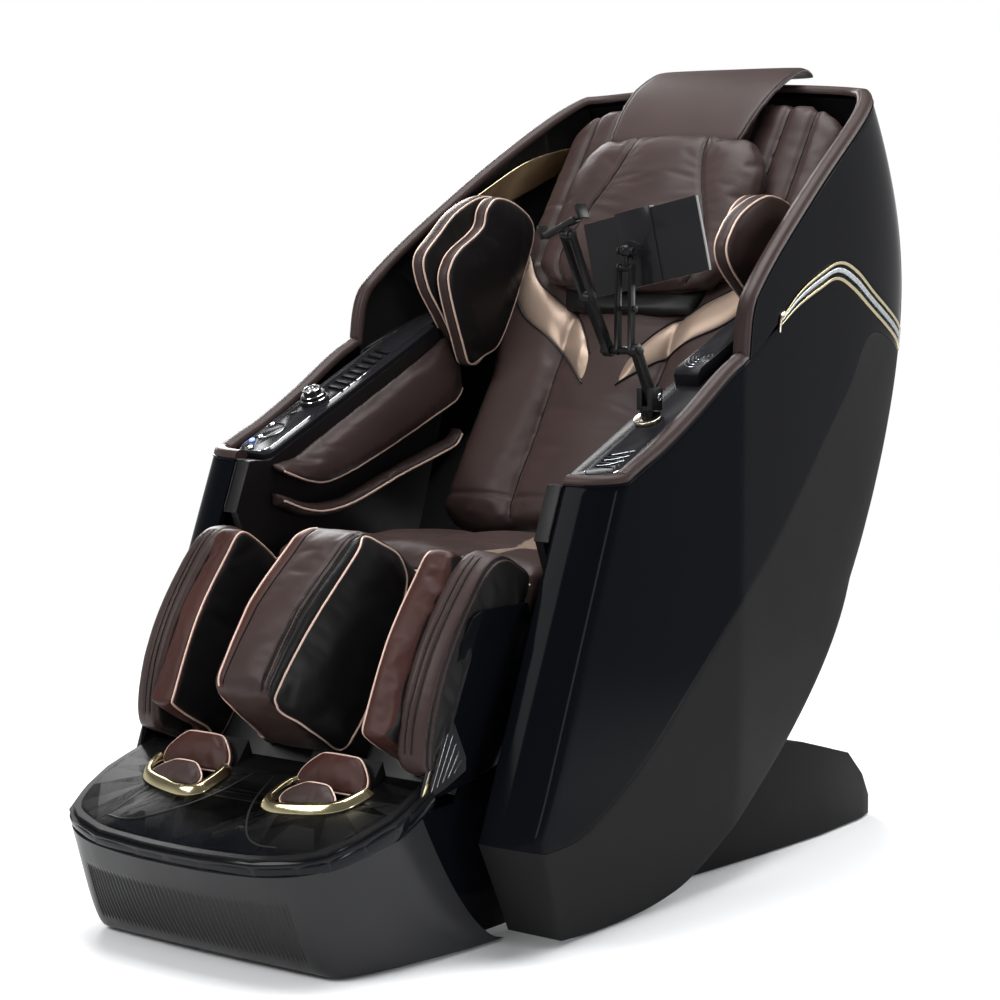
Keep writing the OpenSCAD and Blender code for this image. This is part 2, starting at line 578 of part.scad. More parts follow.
// ---------- steel frame of the pod ----------
// box section of a given size, hollow along axis "k" (0 = X, 1 = Y)
module hollow(size, wall, k) difference() {
    cube(size);
    translate([k == 0 ? -1 : wall, k == 1 ? -1 : wall, wall])
        cube([size.x + (k == 0 ? 2 : -2 * wall), size.y + (k == 1 ? 2 : -2 * wall), size.z - 2 * wall]);
}
module pod_frame() color(steel) {
    both() {
        translate([240, -250, 400]) hollow([25, 520, 32], 3, 1);
        // bracket that carries the shells
        translate([264.8, 0, 402]) hollow([122.6, 30, 24], 3, 0);
        // ear on the recline shaft
        difference() {
            side_plate([[pivot_y - 28, pivot_z], [pivot_y - 60, 404], [pivot_y + 60, 404],
                [pivot_y + 28, pivot_z]], 205, 235);
            rod_x(204, 236, shaft_r + run_gap, pivot_y, pivot_z);
        }
        difference() {
            rod_x(205, 235, 28, pivot_y, pivot_z);
            rod_x(204, 236, shaft_r + run_gap, pivot_y, pivot_z);
        }
        // bracket and pin of the leg rest hinge
        side_plate([[hinge_y - 14, hinge_z - 14], [hinge_y - 14, hinge_z + 12],
            [hinge_y + 20, hinge_z + 12], [-263, 490], [-263, 446], [-240, 430],
            [-240, 402], [-262, 402], [-286, 440], [-292, 486]], 138, 150);
        rod_x(116, 152, hinge_r, hinge_y, hinge_z);
        // side of the back frame and its gusset
        on_back() translate([238, 24, -190]) difference() {
            cube([20, 800, 101.4]);
            translate([-1, 8, 6]) cube([17, 784, 89.4]);
        }
        side_plate([[150, 402], [268, 402], [372, 520], [296, 520], [230, 470]], 239, 257);
    }
    for (y = [-250, 130, 236]) translate([-240.2, y, 400]) hollow([480.4, 28, 32], 3, 0);
    translate([-265, -250, 431.9]) cube([530, 440, 2.5]);
    on_back() for (s = [40, 430, 790]) translate([-254.2, s, -190]) hollow([508.4, 24, 22], 3, 0);
    // strut to the back shell
    translate([-40, 0, 0]) side_plate([[548, 798], [544, 776],
        [back_y(776) - shell_t - 1, 776], [back_y(798) - shell_t - 1, 798]], 0, 80);
}
module back_track() color(steel) on_back() both() difference() {
    translate([58, 42, -167.9]) cube([16, 770, 22]);
    translate([57, 41, -162]) cube([13, 772, 10]);
}
module massage_carriage() color(matte) on_back() {
    translate([-57, 90, -164]) cube([114, 90, 26]);
    both() translate([50, 100, -161.7]) cube([19.7, 70, 9.4]);
    both() translate([30, 118, -140]) difference() {
        cube([10, 34, 44]);
        translate([-1, 17, roller_h + 140]) rotate([0, 90, 0]) cylinder(h = 12, r = 5 + run_gap);
    }
}
roller_h = -113;
module massage_rollers() color(black) on_back() {
    translate([-78, 135, roller_h]) rotate([0, 90, 0]) cylinder(h = 156, r = 5);
    both() translate([46, 135, roller_h]) rotate([0, 90, 0]) {
        cylinder(h = 8, r1 = 16, r2 = 22);
        translate([0, 0, 8]) cylinder(h = 12, r = 22);
        translate([0, 0, 20]) cylinder(h = 8, r1 = 22, r2 = 16);
    }
}
module air_pump() color(black) {
    difference() {
        translate([-190, -190, 352]) cube([130, 120, 79.8]);
        for (k = [0:4]) translate([-180 + 24 * k, -191, 366]) cube([12, 4, 50]);
    }
    for (x = [-160, -90]) translate([x, -190, 380]) rotate([90, 0, 0]) cylinder(h = 16, r = 7);
}
module control_box() color(matte) {
    translate([40, -190, 372]) cube([170, 130, 59.8]);
    for (k = [0:3]) translate([60 + 34 * k, -204, 384]) cube([20, 15, 12]);
}

// ---------- base, rails and carriage ----------
rail_in = 200;
module base_frame() color(black) {
    both() translate([240, -250, 8]) hollow([40, runner_len, 40], 4, 1);
    for (y = [-240, -30, 380, 560]) translate([-240.2, y, 8]) hollow([480.4, 60, 40], 4, 0);
    // floor pad at the origin
    translate([-70, -28, 0]) cube([140, 56, 8.4]);
    both() rod_x(279.8, 308, 6, wheel_y, wheel_z);
}
wheel_y = 606;
wheel_z = wheel_r + 3;
plan = [[300, 96], [312, 109], [327, 280], [336, 465], [331, 610], [322, 650], [300, 668], [0, 676]];
function inset_plan(d) = [for (p = plan) [max(0, p.x - d), p.y - d * p.y / 676]];
module footprint(d) {
    p = inset_plan(d);
    polygon(concat(p, [for (k = [len(p) - 1:-1:0]) [-p[k].x, p[k].y]]));
}
module hood(d) intersection() {
    side_plate([[80, 3], [80, 120 - d], [200, 150 - d], [348, 178 - d], [400, 172 - d],
        [558, 127 - d], [612, 80 - d], [664 - 2 * d, 20], [664 - 2 * d, 3]], -345, 345);
    linear_extrude(240) footprint(d);
}
module base_cover() color(matte) difference() {
    hood(0);
    translate([0, 0, -2]) hood(7);
    translate([-286, 60, 50]) cube([572, 282, 200]);
    translate([-300, 60, -1]) cube([600, 50, 200]);
    translate([-34, 590, -1]) cube([68, 90, 66]);
    both() translate([282, 570, -1]) cube([26, 90, 62]);
}
module glide_feet() color(black) both() for (y = [-215, 300, 520])
    translate([260, y, 0]) {
        cylinder(h = 4, r1 = 19, r2 = 22);
        translate([0, 0, 4]) cylinder(h = 4, r = 22);
    }
module power_inlet() color(black) {
    difference() {
        translate([-32, 620.3, 10]) cube([64, 43.3, 46]);
        translate([-14, 648, 18]) cube([28, 20, 26]);
    }
    for (x = [-8, 0, 8]) translate([x - 1, 640, 30]) cube([2, 18, 5]);
}
module slide_rails() color(steel) both() {
    translate([rail_in + 7, -30, 48.3]) cube([8, 470, 8.6]);
    translate([rail_in, -30, 56]) cube([22, 470, 8]);
}
module transport_wheels() color(black) both() difference() {
    union() {
        rod_x(285, 303, wheel_r, wheel_y, wheel_z);
        rod_x(283, 305, wheel_r / 2, wheel_y, wheel_z);
    }
    rod_x(282, 306, 6 + run_gap, wheel_y, wheel_z);
}
module slide_carriage() color(steel) {
    difference() {
        union() {
            both() translate([rail_in - 7, 90, 50.5]) cube([36, 240, 28]);
            translate([-rail_in, 110, 68]) cube([2 * rail_in, 180, 10]);
            both() side_plate([[118, 66], [282, 66], [pivot_y + 27, pivot_z], [pivot_y - 27, pivot_z]],
                240, 254);
            both() rod_x(240, 254, 27, pivot_y, pivot_z);
            both() translate([228, 118, 66]) cube([14, 164, 12]);
        }
        both() translate([rail_in - 0.3, 80, 55.7]) cube([22.6, 260, 8.6]);
        both() translate([rail_in + 6.7, 80, 48]) cube([8.6, 260, 9]);
    }
    rod_x(-254, 254, shaft_r, pivot_y, pivot_z);
}
module recline_motor() color(black) {
    difference() {
        side_plate([[150, 78.1], [262, 78.1], [250, 290], [226, 356], [174, 356], [150, 290]], -50, 50);
        rod_x(-51, 51, shaft_r + run_gap, pivot_y, pivot_z);
    }
    rod_x(49, 170, 40, pivot_y + 4, 150);
    rod_x(168, 178, 26, pivot_y + 4, 150);
}

// ---------- leg rest, in its own frame (x, down the leg, outwards) ----------
leg_y = -300;
hinge_y = -318;
hinge_z = seat_z - 1;
hinge_r = 7;
// the hinge seen in the leg frame
hinge_l = (leg_y - hinge_y) * sin(leg_lean);
hinge_f = (leg_y - hinge_y) * cos(leg_lean);
module leg_frame() color(steel) on_leg() {
    difference() {
        translate([-262, 62, -40]) cube([524, 262, 12]);
        for (x = [-200, 0, 200]) translate([x - 50, 110, -41]) cube([100, 120, 14]);
    }
    both() {
        difference() {
            union() {
                translate([122, hinge_l, hinge_f]) rotate([0, 90, 0]) cylinder(h = 12, r = 16);
                rotate([90, 0, 90]) translate([0, 0, 122]) linear_extrude(12)
                    polygon([[hinge_l - 4, hinge_f + 15], [hinge_l - 14, hinge_f - 6], [64, -40],
                        [90, -40], [90, -28], [hinge_l + 15, hinge_f]]);
            }
            translate([121, hinge_l, hinge_f]) rotate([0, 90, 0])
                cylinder(h = 14, r = hinge_r + run_gap);
        }
        // sleeve of the foot slide
        translate([60, 120, -72]) difference() {
            cube([30, 200, 33]);
            translate([15, -1, 14]) rotate([-90, 0, 0]) cylinder(h = 202, r = slide_r + run_gap);
        }
        // lugs that carry the side covers
        translate([255, 112, -40]) cube([24.3, 16, 11.6]);
        translate([255, 262, -40]) cube([12.4, 16, 11.6]);
    }
}
slide_r = 8;
leg_taper = 0.082;  // how fast the leg rest's sides close in towards the feet
bolster = [[-6, -6], [66, -26], [300, -26], [318, -6], [326, 30], [330, 62], [310, 82],
    [272, 100], [228, 112], [168, 119], [100, 116], [30, 104], [-4, 78], [-12, 36]];
inner_leaf = [[40, -26], [290, -26], [305, 20], [307, 100], [290, 110], [168, 126], [60, 118],
    [14, 108], [8, 60], [16, 0]];
// leaf whose outer shoulder falls away by "drop" and whose rear part tapers
module bag_leg(outline, x0, x1, drop = 0) {
    mid = [for (k = [0, 1]) vsum([for (p = outline) p[k]]) / len(outline)];
    loft([for (s = [[0, 0.9], [0.16, 0.98], [0.5, 1], [0.84, 0.98], [1, 0.9]])
        [for (p = outline) let (q = mid + (p - mid) * s[1],
                taper = drop > 0 && q.y > 55 ? 0.01 : leg_taper,
                fall = q.y > 0 ? drop * s[0] * s[0] : 0)
            [mix(x0, x1 - taper * max(0, q.x), s[0]), q.x, max(q.y - fall, -27)]]]);
}
module calf_bolster() color(leather) {
    difference() {
        on_leg() bag_leg(bolster, 230, leg_half, 12);
        // recess in which the side cover lies
        cover_place() side_plate([for (p = cover_side) p + [-1.4, 1.2]], -0.7, 40);
    }
    on_leg() {
        bag_leg(inner_leaf, 104 + calf_gap, 229.6 + 20);
        translate([137, 76, -27.4]) cube([48, 230, 10]);
    }
}
module calf_bolster_left() calf_bolster();
module calf_bolster_right() mirror([1, 0, 0]) calf_bolster();
function block_ring(l, root, face, top) = [[-root, l, -27], [-face - 12, l, top * 0.7],
    [-face, l, top - 5], [-face + 14, l, top], [face - 14, l, top], [face, l, top - 5],
    [face + 12, l, top * 0.7], [root, l, -27]];
module calf_centre() color(leather) on_leg() {
    loft([block_ring(60, 88, 58, 118), block_ring(66, 100, 64, 142), block_ring(154, 105, 62, 170),
        block_ring(280, 104, 54, 180), block_ring(296, 103, 50, 170), block_ring(302, 96, 44, 120)]);
    loft([block_ring(-8, 60, 54, 118), block_ring(0, 76, 63, 132), block_ring(59.8, 78, 64, 141)]);
}
cover_x = leg_half + 1;
cover_side = [[-310, 6], [-420, 7], [-438, -1], [-457, -33], [-472, -63], [-486, -103],
    [-494, -128], [-519, -212], [-530, -231], [-523, -229], [-498, -221], [-497, -250],
    [-482, -251], [-420, -242],
    [-356, -228], [-338, -190], [-314, -112], [-292, -42]];
stripe_side = [[-484, -128], [-515, -214], [-518, -227], [-496, -220], [-495, -240],
    [-478, -242], [-434, -222],
    [-424, -200], [-437, -160], [-456, -114], [-468, -88]];
module cover_place() translate([cover_x, 0, seat_z - 38]) rotate([0, 5.4, 0]) children();
module leg_side_covers() color(gloss) both() cover_place() {
    side_plate(cover_side, 0, 5);
    side_plate(stripe_side, 4.8, 6.4);
    for (k = [0:5]) side_plate([[-489 + 8 * k, -136 - 3 * k], [-514 + 10 * k, -224 + 3 * k],
        [-510 + 10 * k, -224 + 3 * k], [-485 + 8 * k, -136 - 3 * k]], 6.2, 7.2);
}

// ---------- foot housing, in the tray frame (x, rearwards, up) ----------
lip_t = 22;
tray_end = 263;
tray_plan = [[0, 0], [60, 1], [151, 9], [215, 31], [248, 56], [270, 108], [tray_half, 165],
    [tray_half - 2, 200], [tray_half - 6, 236], [tray_half - 9, tray_end]];
module tray_shape(d) {
    p = [for (q = tray_plan) [max(0, q.x - d), q.y + d * (1 - q.y / tray_end)]];
    polygon(concat(p, [for (k = [len(p) - 1:-1:0]) [-p[k].x, p[k].y]]));
}
well = 187;     // middle of a foot well along the tray
module foot_tray() color(matte) {
    on_tray() difference() {
        union() {
            translate([0, 0, -lip_t]) linear_extrude(lip_t - 7) tray_shape(0);
            translate([0, 0, -7.1]) linear_extrude(7.1) tray_shape(7);
        }
        both() translate([foot_x + 4, well, -5]) linear_extrude(8) {
            ring_plan(ring_r - 1);
            translate([-60, 20]) square([124, 60]);
        }
        both() translate([foot_x - 44, well - 30, -lip_t - 1]) cube([88, 50, 30]);
    }
    // slide rods and the block that joins them to the tray
    on_leg() {
        both() translate([75, 150, -58]) rotate([-90, 0, 0]) cylinder(h = 230, r = slide_r);
        translate([-95, 366, -76]) cube([190, 24, 52]);
    }
    both() side_plate([[-530, 226], [-508, 233], [-470, 178], [-462, 150], [-492, 150]], 60, 90);
    // wedges under the rear sole pads
    on_tray() both() translate([foot_x - 62, 0, 0]) rotate([90, 0, 90]) linear_extrude(128)
        polygon([[well + 33, -6], [tray_end - 1, -6], [tray_end - 1, 23.4], [well + 33, -2.7]]);
    // bearings of the foot rollers
    on_tray() both() for (x = [foot_x - 43.9, foot_x + 35.9]) translate([x, well - 18, -26]) difference() {
        cube([8, 26, 21]);
        translate([-1, 13, 9]) rotate([0, 90, 0]) cylinder(h = 10, r = 4 + run_gap);
    }
}
floor_plan = [[0, -662], [60, -662], [120, -661], [180, -660], [226, -652], [250, -590],
    [264, -520], [279, -430], [284, -356]];
rim_plan = [[0, -753], [62, -752], [120, -747], [170, -739], [212, -724], [246, -698],
    [268, -648], [277, -596], [270, -534]];
module foot_skirt() color(matte) {
    half = [for (i = [0:20]) let (a = curve(floor_plan, i / 20), b = curve(rim_plan, i / 20))
        [for (j = [0:5]) let (t = j / 5, p = mix(a, b, pow(t, 0.6)),
                flute = abs(a.x) < 200 && i % 2 == 1 && j > 0 && j < 4 ? 2.5 : 0,
                zt = tray_z + (b.y + tray_front) * tan(tray_slope)
                    - lip_t / cos(tray_slope) - soft_gap)
            [p.x, p.y + flute, mix(4, zt, t)]]];
    inner = [for (i = [0:20]) [for (q = half[i])
        [max(0, q.x - 8 * min(1, i / 6)), q.y + 8 * (1 - i / 24), q.z]]];
    both() slab(half, inner);
    // cheeks that close the gap to the pod and slide up inside the side covers
    both() side_plate([[-532, 214], [-505, 130], [-450, 48], [-390, 14], [-312, 14],
        [-306, 120], [-330, 290], [-396, 290], [-434, 226], [-440, 214]], 254, 262);
    both() translate([258, -420, 20]) cube([18, 40, 14]);
}
ring_plan = [[-0.9, 0.34], [-1, 0.12], [-1, -0.32], [-0.9, -0.64], [-0.52, -0.79], [0.13, -0.69],
    [0.6, -0.53], [0.88, -0.29], [1.02, 0.12], [1.04, 0.34]];
module ring_plan(r) polygon([for (p = r * ring_plan) [p.x, p.y > 0.3 * r ? 60 : p.y]]);
module foot_rings() color(gold) on_tray() both() translate([foot_x + 4, well, 0.2]) difference() {
    linear_extrude(9) polygon((ring_r + ring_w) * ring_plan);
    translate([0, 0, -1]) linear_extrude(30) ring_plan(ring_r);
    // sloping upper face
    translate([0, 0, 6]) linear_extrude(9) ring_plan(ring_r + 6);
}
sole_us = [-1, -0.9, -0.6, -0.2, 0.2, 0.6, 0.9, 1];
module sole_pads() color(dark_leather) on_tray() both() {
    translate([foot_x - 4, well - 37, -4.6]) rotate([18, 0, 0])
        upholstery(sole_us, [0, 7, 18, 30, 39, 45], [33, 40, 50, 52, 44, 34], 14, 10, 3);
    translate([foot_x + 4, well + 30, -4]) rotate([32, 0, 0])
        upholstery(sole_us, [0, 8, 22, 36, 46, 52], [58, 61, 63, 66, 66, 60], 14, 10, 4);
}
module foot_rollers() color(black) on_tray() both() {
    translate([foot_x - 43, well - 5, -17]) rotate([0, 90, 0]) cylinder(h = 86, r = 4, $fn = 24);
    for (k = [0:2]) translate([foot_x - 32 + 24 * k, well - 5, -17]) rotate([0, 90, 0])
        cylinder(h = 16, r = 11, $fn = 32);
}

// ---------- holder for a tablet and a phone ----------
post_y = -40;
post_z = 770;
fork_y = post_y - link_len * sin(30);
fork_z = post_z + link_len * cos(30);
module holder_ring() color(gold) on_deck() translate([ring_at.x, ring_at.y, 0.05]) difference() {
    cylinder(h = 6, r = 22);
    translate([0, 0, -1]) cylinder(h = 9, r = post_r + run_gap);
}
module holder_post() color(black) {
    on_deck() translate([ring_at.x, ring_at.y, 0.1]) cylinder(h = 22, r = post_r);
    difference() {
        translate([ring_at.x - 14, -58, 750]) cube([28, 28, 34]);
        translate([ring_at.x - 5.3, -60, 756]) cube([10.6, 40, 40]);
    }
    rod_x(ring_at.x - 14, ring_at.x + 14, 4, post_y, post_z);
}
module link_bar(x, w, a, b, r, bore) difference() {
    union() {
        rod_x(x, x + w, r, a.x, a.y);
        rod_x(x, x + w, r, b.x, b.y);
        side_plate(strip(a, b, 0.8 * r), x, x + w);
    }
    if (bore > 0) rod_x(x - 1, x + w + 1, bore, a.x, a.y);
}
function strip(a, b, r) = let (d = unit(b - a), n = [-d.y, d.x] * r) [a - n, b - n, b + n, a + n];
module holder_link() color(black) {
    link_bar(ring_at.x - 5, 10, [post_y, post_z], [fork_y, fork_z], 11, 4 + run_gap);
    rod_x(ring_at.x - 62, ring_at.x + 10, 6, fork_y, fork_z);
}
ball = [ring_at.x - 20, fork_y, fork_z + tablet_arm_len];
neck = 26;          // from the ball down to the cross bar of its arm
plate_y = 35;       // from the ball back to the adapter plate, clear of the arm at full tilt
module tablet_arm() color(steel) {
    for (x = [ring_at.x - 36, ring_at.x - 12])
        link_bar(x, 6, [fork_y, fork_z], [ball.y, ball.z - neck], 7, 6 + run_gap);
    rod_x(ring_at.x - 31, ring_at.x - 11, 5, ball.y, ball.z - neck);
    rod_x(ring_at.x - 7, ring_at.x - 2, 5, fork_y + 3, fork_z + 62);
    rod_x(ring_at.x - 31, ring_at.x - 6, 4, fork_y + 3, fork_z + 62);
    translate([ball.x, ball.y, ball.z - neck]) cylinder(h = neck - 6, r = 4);
    translate([ball.x, ball.y, ball.z]) sphere(r = 9, $fn = 24);
    rod_x(ball.x - 14, ball.x + 14, 4, ball.y, ball.z);
}
module tablet() color(black) translate(ball) {
    difference() {
        union() {
            translate([0, 8, 0]) rotate([-90, 0, 0]) cylinder(h = 9, r = 15);
            translate([0, 16, 0]) rotate([-90, 0, 0]) cylinder(h = plate_y - 15.5, r = 11);
        }
        sphere(r = 9.3, $fn = 24);
        // slot that lets the neck pass
        translate([-5, 5, -20]) cube([10, 14, 15]);
        translate([0, -8, 0]) rotate([-90, 0, 0]) cylinder(h = 16, r = 8);
    }
    // lugs on the tilt pins
    both() difference() {
        union() {
            rod_x(10.5, 14.5, 5.6, 0, 0);
            translate([10.5, 0, -5.6]) cube([4, 10, 11.2]);
        }
        rod_x(10, 15, 4 + run_gap, 0, 0);
    }
    rotate([0, -12.5, 0]) {
        translate([-32, plate_y, -tablet_h / 2 + 3]) cube([64, 3, tablet_h]);
        translate([-32, plate_y, tablet_h / 2 + 3]) cube([64, 13, 3]);
        translate([-tablet_w / 2 + 10, plate_y + 2.9, -tablet_h / 2 + 3])
            cube([tablet_w, 8.6, tablet_h]);
        translate([-tablet_w / 2 + 15, plate_y + 11.4, -tablet_h / 2 + 8])
            cube([tablet_w - 10, 0.6, tablet_h - 10]);
    }
}
phone_knee = [fork_y - 52, fork_z + 79];
phone_tip = [fork_y - 104, fork_z + 172];
module phone_arm() color(black) {
    link_bar(ring_at.x - 56, 12, [fork_y, fork_z], phone_knee, 10, 6 + run_gap);
    for (x = [ring_at.x - 62, ring_at.x - 46])
        link_bar(x, 6, phone_knee, phone_tip, 7, 0);
    rod_x(ring_at.x - 64, ring_at.x - 38, 4, phone_knee.x, phone_knee.y);
    rod_x(ring_at.x - 60, ring_at.x - 41, 4, phone_tip.x, phone_tip.y);
}
module phone_clamp() color(black) translate([ring_at.x - 51, phone_tip.x, phone_tip.y]) {
    difference() {
        union() {
            translate([-4.5, 0, 0]) rotate([0, 90, 0]) cylinder(h = 9, r = 8);
            translate([-4.5, -5, 4]) cube([9, 10, 8.6]);
        }
        translate([-20, 0, 0]) rotate([0, 90, 0]) cylinder(h = 40, r = 4 + run_gap);
    }
    rotate([0, -24, 0]) {
        difference() {
            translate([-38, -7, 11]) cube([62, 16, 8]);
            translate([-20, -2, 13.5]) cube([60, 8, 3]);
        }
        translate([-42, -10, 11]) cube([5, 22, 20]);
    }
}
module clamp_jaw() color(steel) translate([ring_at.x - 51, phone_tip.x, phone_tip.y])
    rotate([0, -24, 0]) {
        translate([-10, -1.7, 13.8]) cube([46, 7.4, 2.4]);
        translate([34, -12, 11]) cube([4, 26, 22]);
    }

base_frame();
base_cover();
glide_feet();
slide_rails();
power_inlet();
transport_wheels();
slide_carriage();
recline_motor();
pod_frame();
wing_panel_left();
wing_panel_right();
side_panel_left();
side_panel_right();
skirt_left();
skirt_right();
back_cover();
leather_rim();
chevron_trims();
side_linings();
arm_liners();
console_left();
console_right();
charger_pad();
key_bars();
control_knob();
button_1();
button_2();
button_3();
button_4();
seat_cushion();
back_cushion();
back_inserts();
head_pillow();
pillow_flap();
shoulder_airbags();
arm_airbags();
speakers();
back_track();
massage_carriage();
massage_rollers();
air_pump();
control_box();
leg_frame();
calf_bolster_left();
calf_bolster_right();
calf_centre();
leg_side_covers();
foot_tray();
foot_skirt();
foot_rings();
sole_pads();
foot_rollers();
holder_ring();
holder_post();
holder_link();
tablet_arm();
tablet();
phone_arm();
phone_clamp();
clamp_jaw();
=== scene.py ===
"""Looks of a reclining massage chair: shells, upholstery, trims, controls and stage.

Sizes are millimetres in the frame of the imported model: +Z up, the sitter faces -Y and
the sitter's left is +X. Meshes are made in metres.
"""

from math import copysign, cos, floor, pi, radians, sin, sqrt, tan

import bmesh
import bpy
from mathutils import Matrix, Vector
from mathutils.bvhtree import BVHTree
from mathutils.kdtree import KDTree


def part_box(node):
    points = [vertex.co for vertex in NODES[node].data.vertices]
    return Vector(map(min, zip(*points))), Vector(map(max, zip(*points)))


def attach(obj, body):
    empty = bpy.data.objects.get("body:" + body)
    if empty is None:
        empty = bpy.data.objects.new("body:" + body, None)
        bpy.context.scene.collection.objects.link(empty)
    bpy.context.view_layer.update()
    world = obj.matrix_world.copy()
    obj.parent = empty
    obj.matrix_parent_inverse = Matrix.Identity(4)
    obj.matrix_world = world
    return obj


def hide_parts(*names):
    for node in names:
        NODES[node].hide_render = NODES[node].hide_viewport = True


bl_info = {
    "name": "Massage Chair",
    "version": (1, 0, 0),
    "blender": (4, 5, 0),
    "location": "View3D > Sidebar > Chair",
    "description": "Builds the finished looks of a massage chair around its packed model",
    "category": "Object",
}

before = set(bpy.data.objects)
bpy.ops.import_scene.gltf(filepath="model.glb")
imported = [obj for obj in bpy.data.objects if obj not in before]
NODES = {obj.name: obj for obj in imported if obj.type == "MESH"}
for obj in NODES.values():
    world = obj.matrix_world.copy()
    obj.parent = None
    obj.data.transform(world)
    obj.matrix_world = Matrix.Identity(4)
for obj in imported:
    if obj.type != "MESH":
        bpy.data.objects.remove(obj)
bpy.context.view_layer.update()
MM = 0.001
LEFT, RIGHT = 1, -1
SIDES = ((LEFT, "_left"), (RIGHT, "_right"))


# ---------- sizes and colours a user may change ----------
def colour(name, description, value):
    """RGB colour property."""
    return bpy.props.FloatVectorProperty(
        name=name, description=description, default=value, subtype="COLOR", size=3, min=0, max=1)


def length(name, description, value):
    """Length property, in millimetres."""
    return bpy.props.FloatProperty(name=name, description=description, default=value, min=0, soft_max=50)


class ChairColours(bpy.types.PropertyGroup):
    """Colours of the finishes."""

    gloss: colour("Gloss shell", "Lacquer of the side shells", (0.0030, 0.0033, 0.0046))
    matte: colour("Matte shell", "Moulded lower shells", (0.0082, 0.0082, 0.0085))
    satin: colour("Satin shell", "Skirt of the foot housing", (0.022, 0.022, 0.0228))
    brown: colour("Brown leather", "Main upholstery", (0.036, 0.0225, 0.0205))
    dark: colour("Black leather", "Inner faces of the airbags", (0.0085, 0.0075, 0.0075))
    maroon: colour("Maroon leather", "Gussets of the calf airbags", (0.040, 0.0145, 0.0115))
    rose: colour("Rose leather", "Slanting bands of the back rest", (0.27, 0.20, 0.155))
    piping: colour("Piping", "Piping along the seams", (0.66, 0.47, 0.385))
    gold: colour("Gold trim", "Foot rings, speaker trims and chevron lines", (0.80, 0.70, 0.43))


class ChairSizes(bpy.types.PropertyGroup):
    """Sizes of the sewn and moulded details."""

    piping_r: length("Piping radius", "Radius of the piping, in millimetres", 1.7)
    stitch_pitch: length("Stitch pitch", "Distance from stitch to stitch, in millimetres", 5.5)
    seam_depth: length("Seam depth", "Depth of a sewn seam, in millimetres", 3.0)
    edge_r: length("Edge radius", "Rounding of the moulded edges, in millimetres", 1.6)


def colours():
    """Colours chosen in the sidebar."""
    return bpy.context.scene.chair_colours


def sizes():
    """Sizes chosen in the sidebar."""
    return bpy.context.scene.chair_sizes


# ---------- node groups ----------
def new_group(name, inputs, outputs):
    """Shader node group with float or vector sockets."""
    group = bpy.data.node_groups.new(name, "ShaderNodeTree")
    for label, kind, value in inputs:
        socket = group.interface.new_socket(name=label, in_out="INPUT", socket_type=kind)
        if value is not None:
            socket.default_value = value
    for label, kind in outputs:
        group.interface.new_socket(name=label, in_out="OUTPUT", socket_type=kind)
    return group, group.nodes.new("NodeGroupInput"), group.nodes.new("NodeGroupOutput")


def add(tree, kind, settings=None, **values):
    """Node of a kind; values set or link its sockets, by name or, as in i0, by number."""
    node = tree.nodes.new(kind)
    for key, value in (settings or {}).items():
        setattr(node, key, value)
    for key, value in values.items():
        label = key.replace("_", " ")
        numbered = label[0] == "i" and label[1:].isdigit()
        socket = node.inputs[int(label[1:]) if numbered else label]
        if isinstance(value, bpy.types.NodeSocket):
            tree.links.new(value, socket)
        else:
            socket.default_value = value
    return node


def math_node(tree, operation, a, b=0.0):
    """Result socket of a Math node."""
    return add(tree, "ShaderNodeMath", {"operation": operation}, i0=a, i1=b).outputs[0]


def finish_group(group, end, **results):
    """Links the results of a group to its outputs."""
    for label, socket in results.items():
        group.links.new(socket, end.inputs[label])
    return group


def leather_group():
    """Pebbled grain with pores, soft creases and a slow change of tone."""
    group, start, end = new_group(
        "Leather Grain",
        [("Vector", "NodeSocketVector", None), ("Pebble Scale", "NodeSocketFloat", 520.0),
         ("Crease Scale", "NodeSocketFloat", 26.0), ("Crease Strength", "NodeSocketFloat", 0.5)],
        [("Height", "NodeSocketFloat"), ("Tone", "NodeSocketFloat"), ("Gloss", "NodeSocketFloat")])
    vector = start.outputs["Vector"]
    pebble = add(group, "ShaderNodeTexVoronoi", {"feature": "DISTANCE_TO_EDGE"},
                 Vector=vector, Scale=start.outputs["Pebble Scale"])
    pores = add(group, "ShaderNodeTexNoise", Vector=vector, Scale=900.0, Detail=3.0)
    crease = add(group, "ShaderNodeTexNoise", {"noise_type": "RIDGED_MULTIFRACTAL"},
                 Vector=vector, Scale=start.outputs["Crease Scale"], Detail=3.0, Distortion=0.6)
    tone = add(group, "ShaderNodeTexNoise", Vector=vector, Scale=7.0, Detail=3.0)
    capped = math_node(group, "MINIMUM", pebble.outputs["Distance"], 0.16)
    fine = math_node(group, "ADD", math_node(group, "MULTIPLY", capped, 2.4),
                     math_node(group, "MULTIPLY", pores.outputs[0], 0.22))
    folds = math_node(group, "MULTIPLY", crease.outputs[0], start.outputs["Crease Strength"])
    return finish_group(group, end, Height=math_node(group, "SUBTRACT", fine, folds), Tone=tone.outputs[0],
                        Gloss=math_node(group, "MULTIPLY", pores.outputs[0], 0.10))


def moulding_group():
    """Fine moulded texture and smudges of a plastic shell."""
    group, start, end = new_group(
        "Moulded Surface", [("Vector", "NodeSocketVector", None), ("Grain Scale", "NodeSocketFloat", 900.0)],
        [("Height", "NodeSocketFloat"), ("Smudge", "NodeSocketFloat"), ("Tone", "NodeSocketFloat")])
    vector = start.outputs["Vector"]
    grain = add(group, "ShaderNodeTexNoise", Vector=vector, Scale=start.outputs["Grain Scale"], Detail=2.0)
    smudge = add(group, "ShaderNodeTexNoise", Vector=vector, Scale=11.0, Detail=5.0, Roughness=0.6)
    tone = add(group, "ShaderNodeTexNoise", Vector=vector, Scale=3.0, Detail=2.0)
    return finish_group(group, end, Height=grain.outputs[0], Smudge=smudge.outputs[0], Tone=tone.outputs[0])


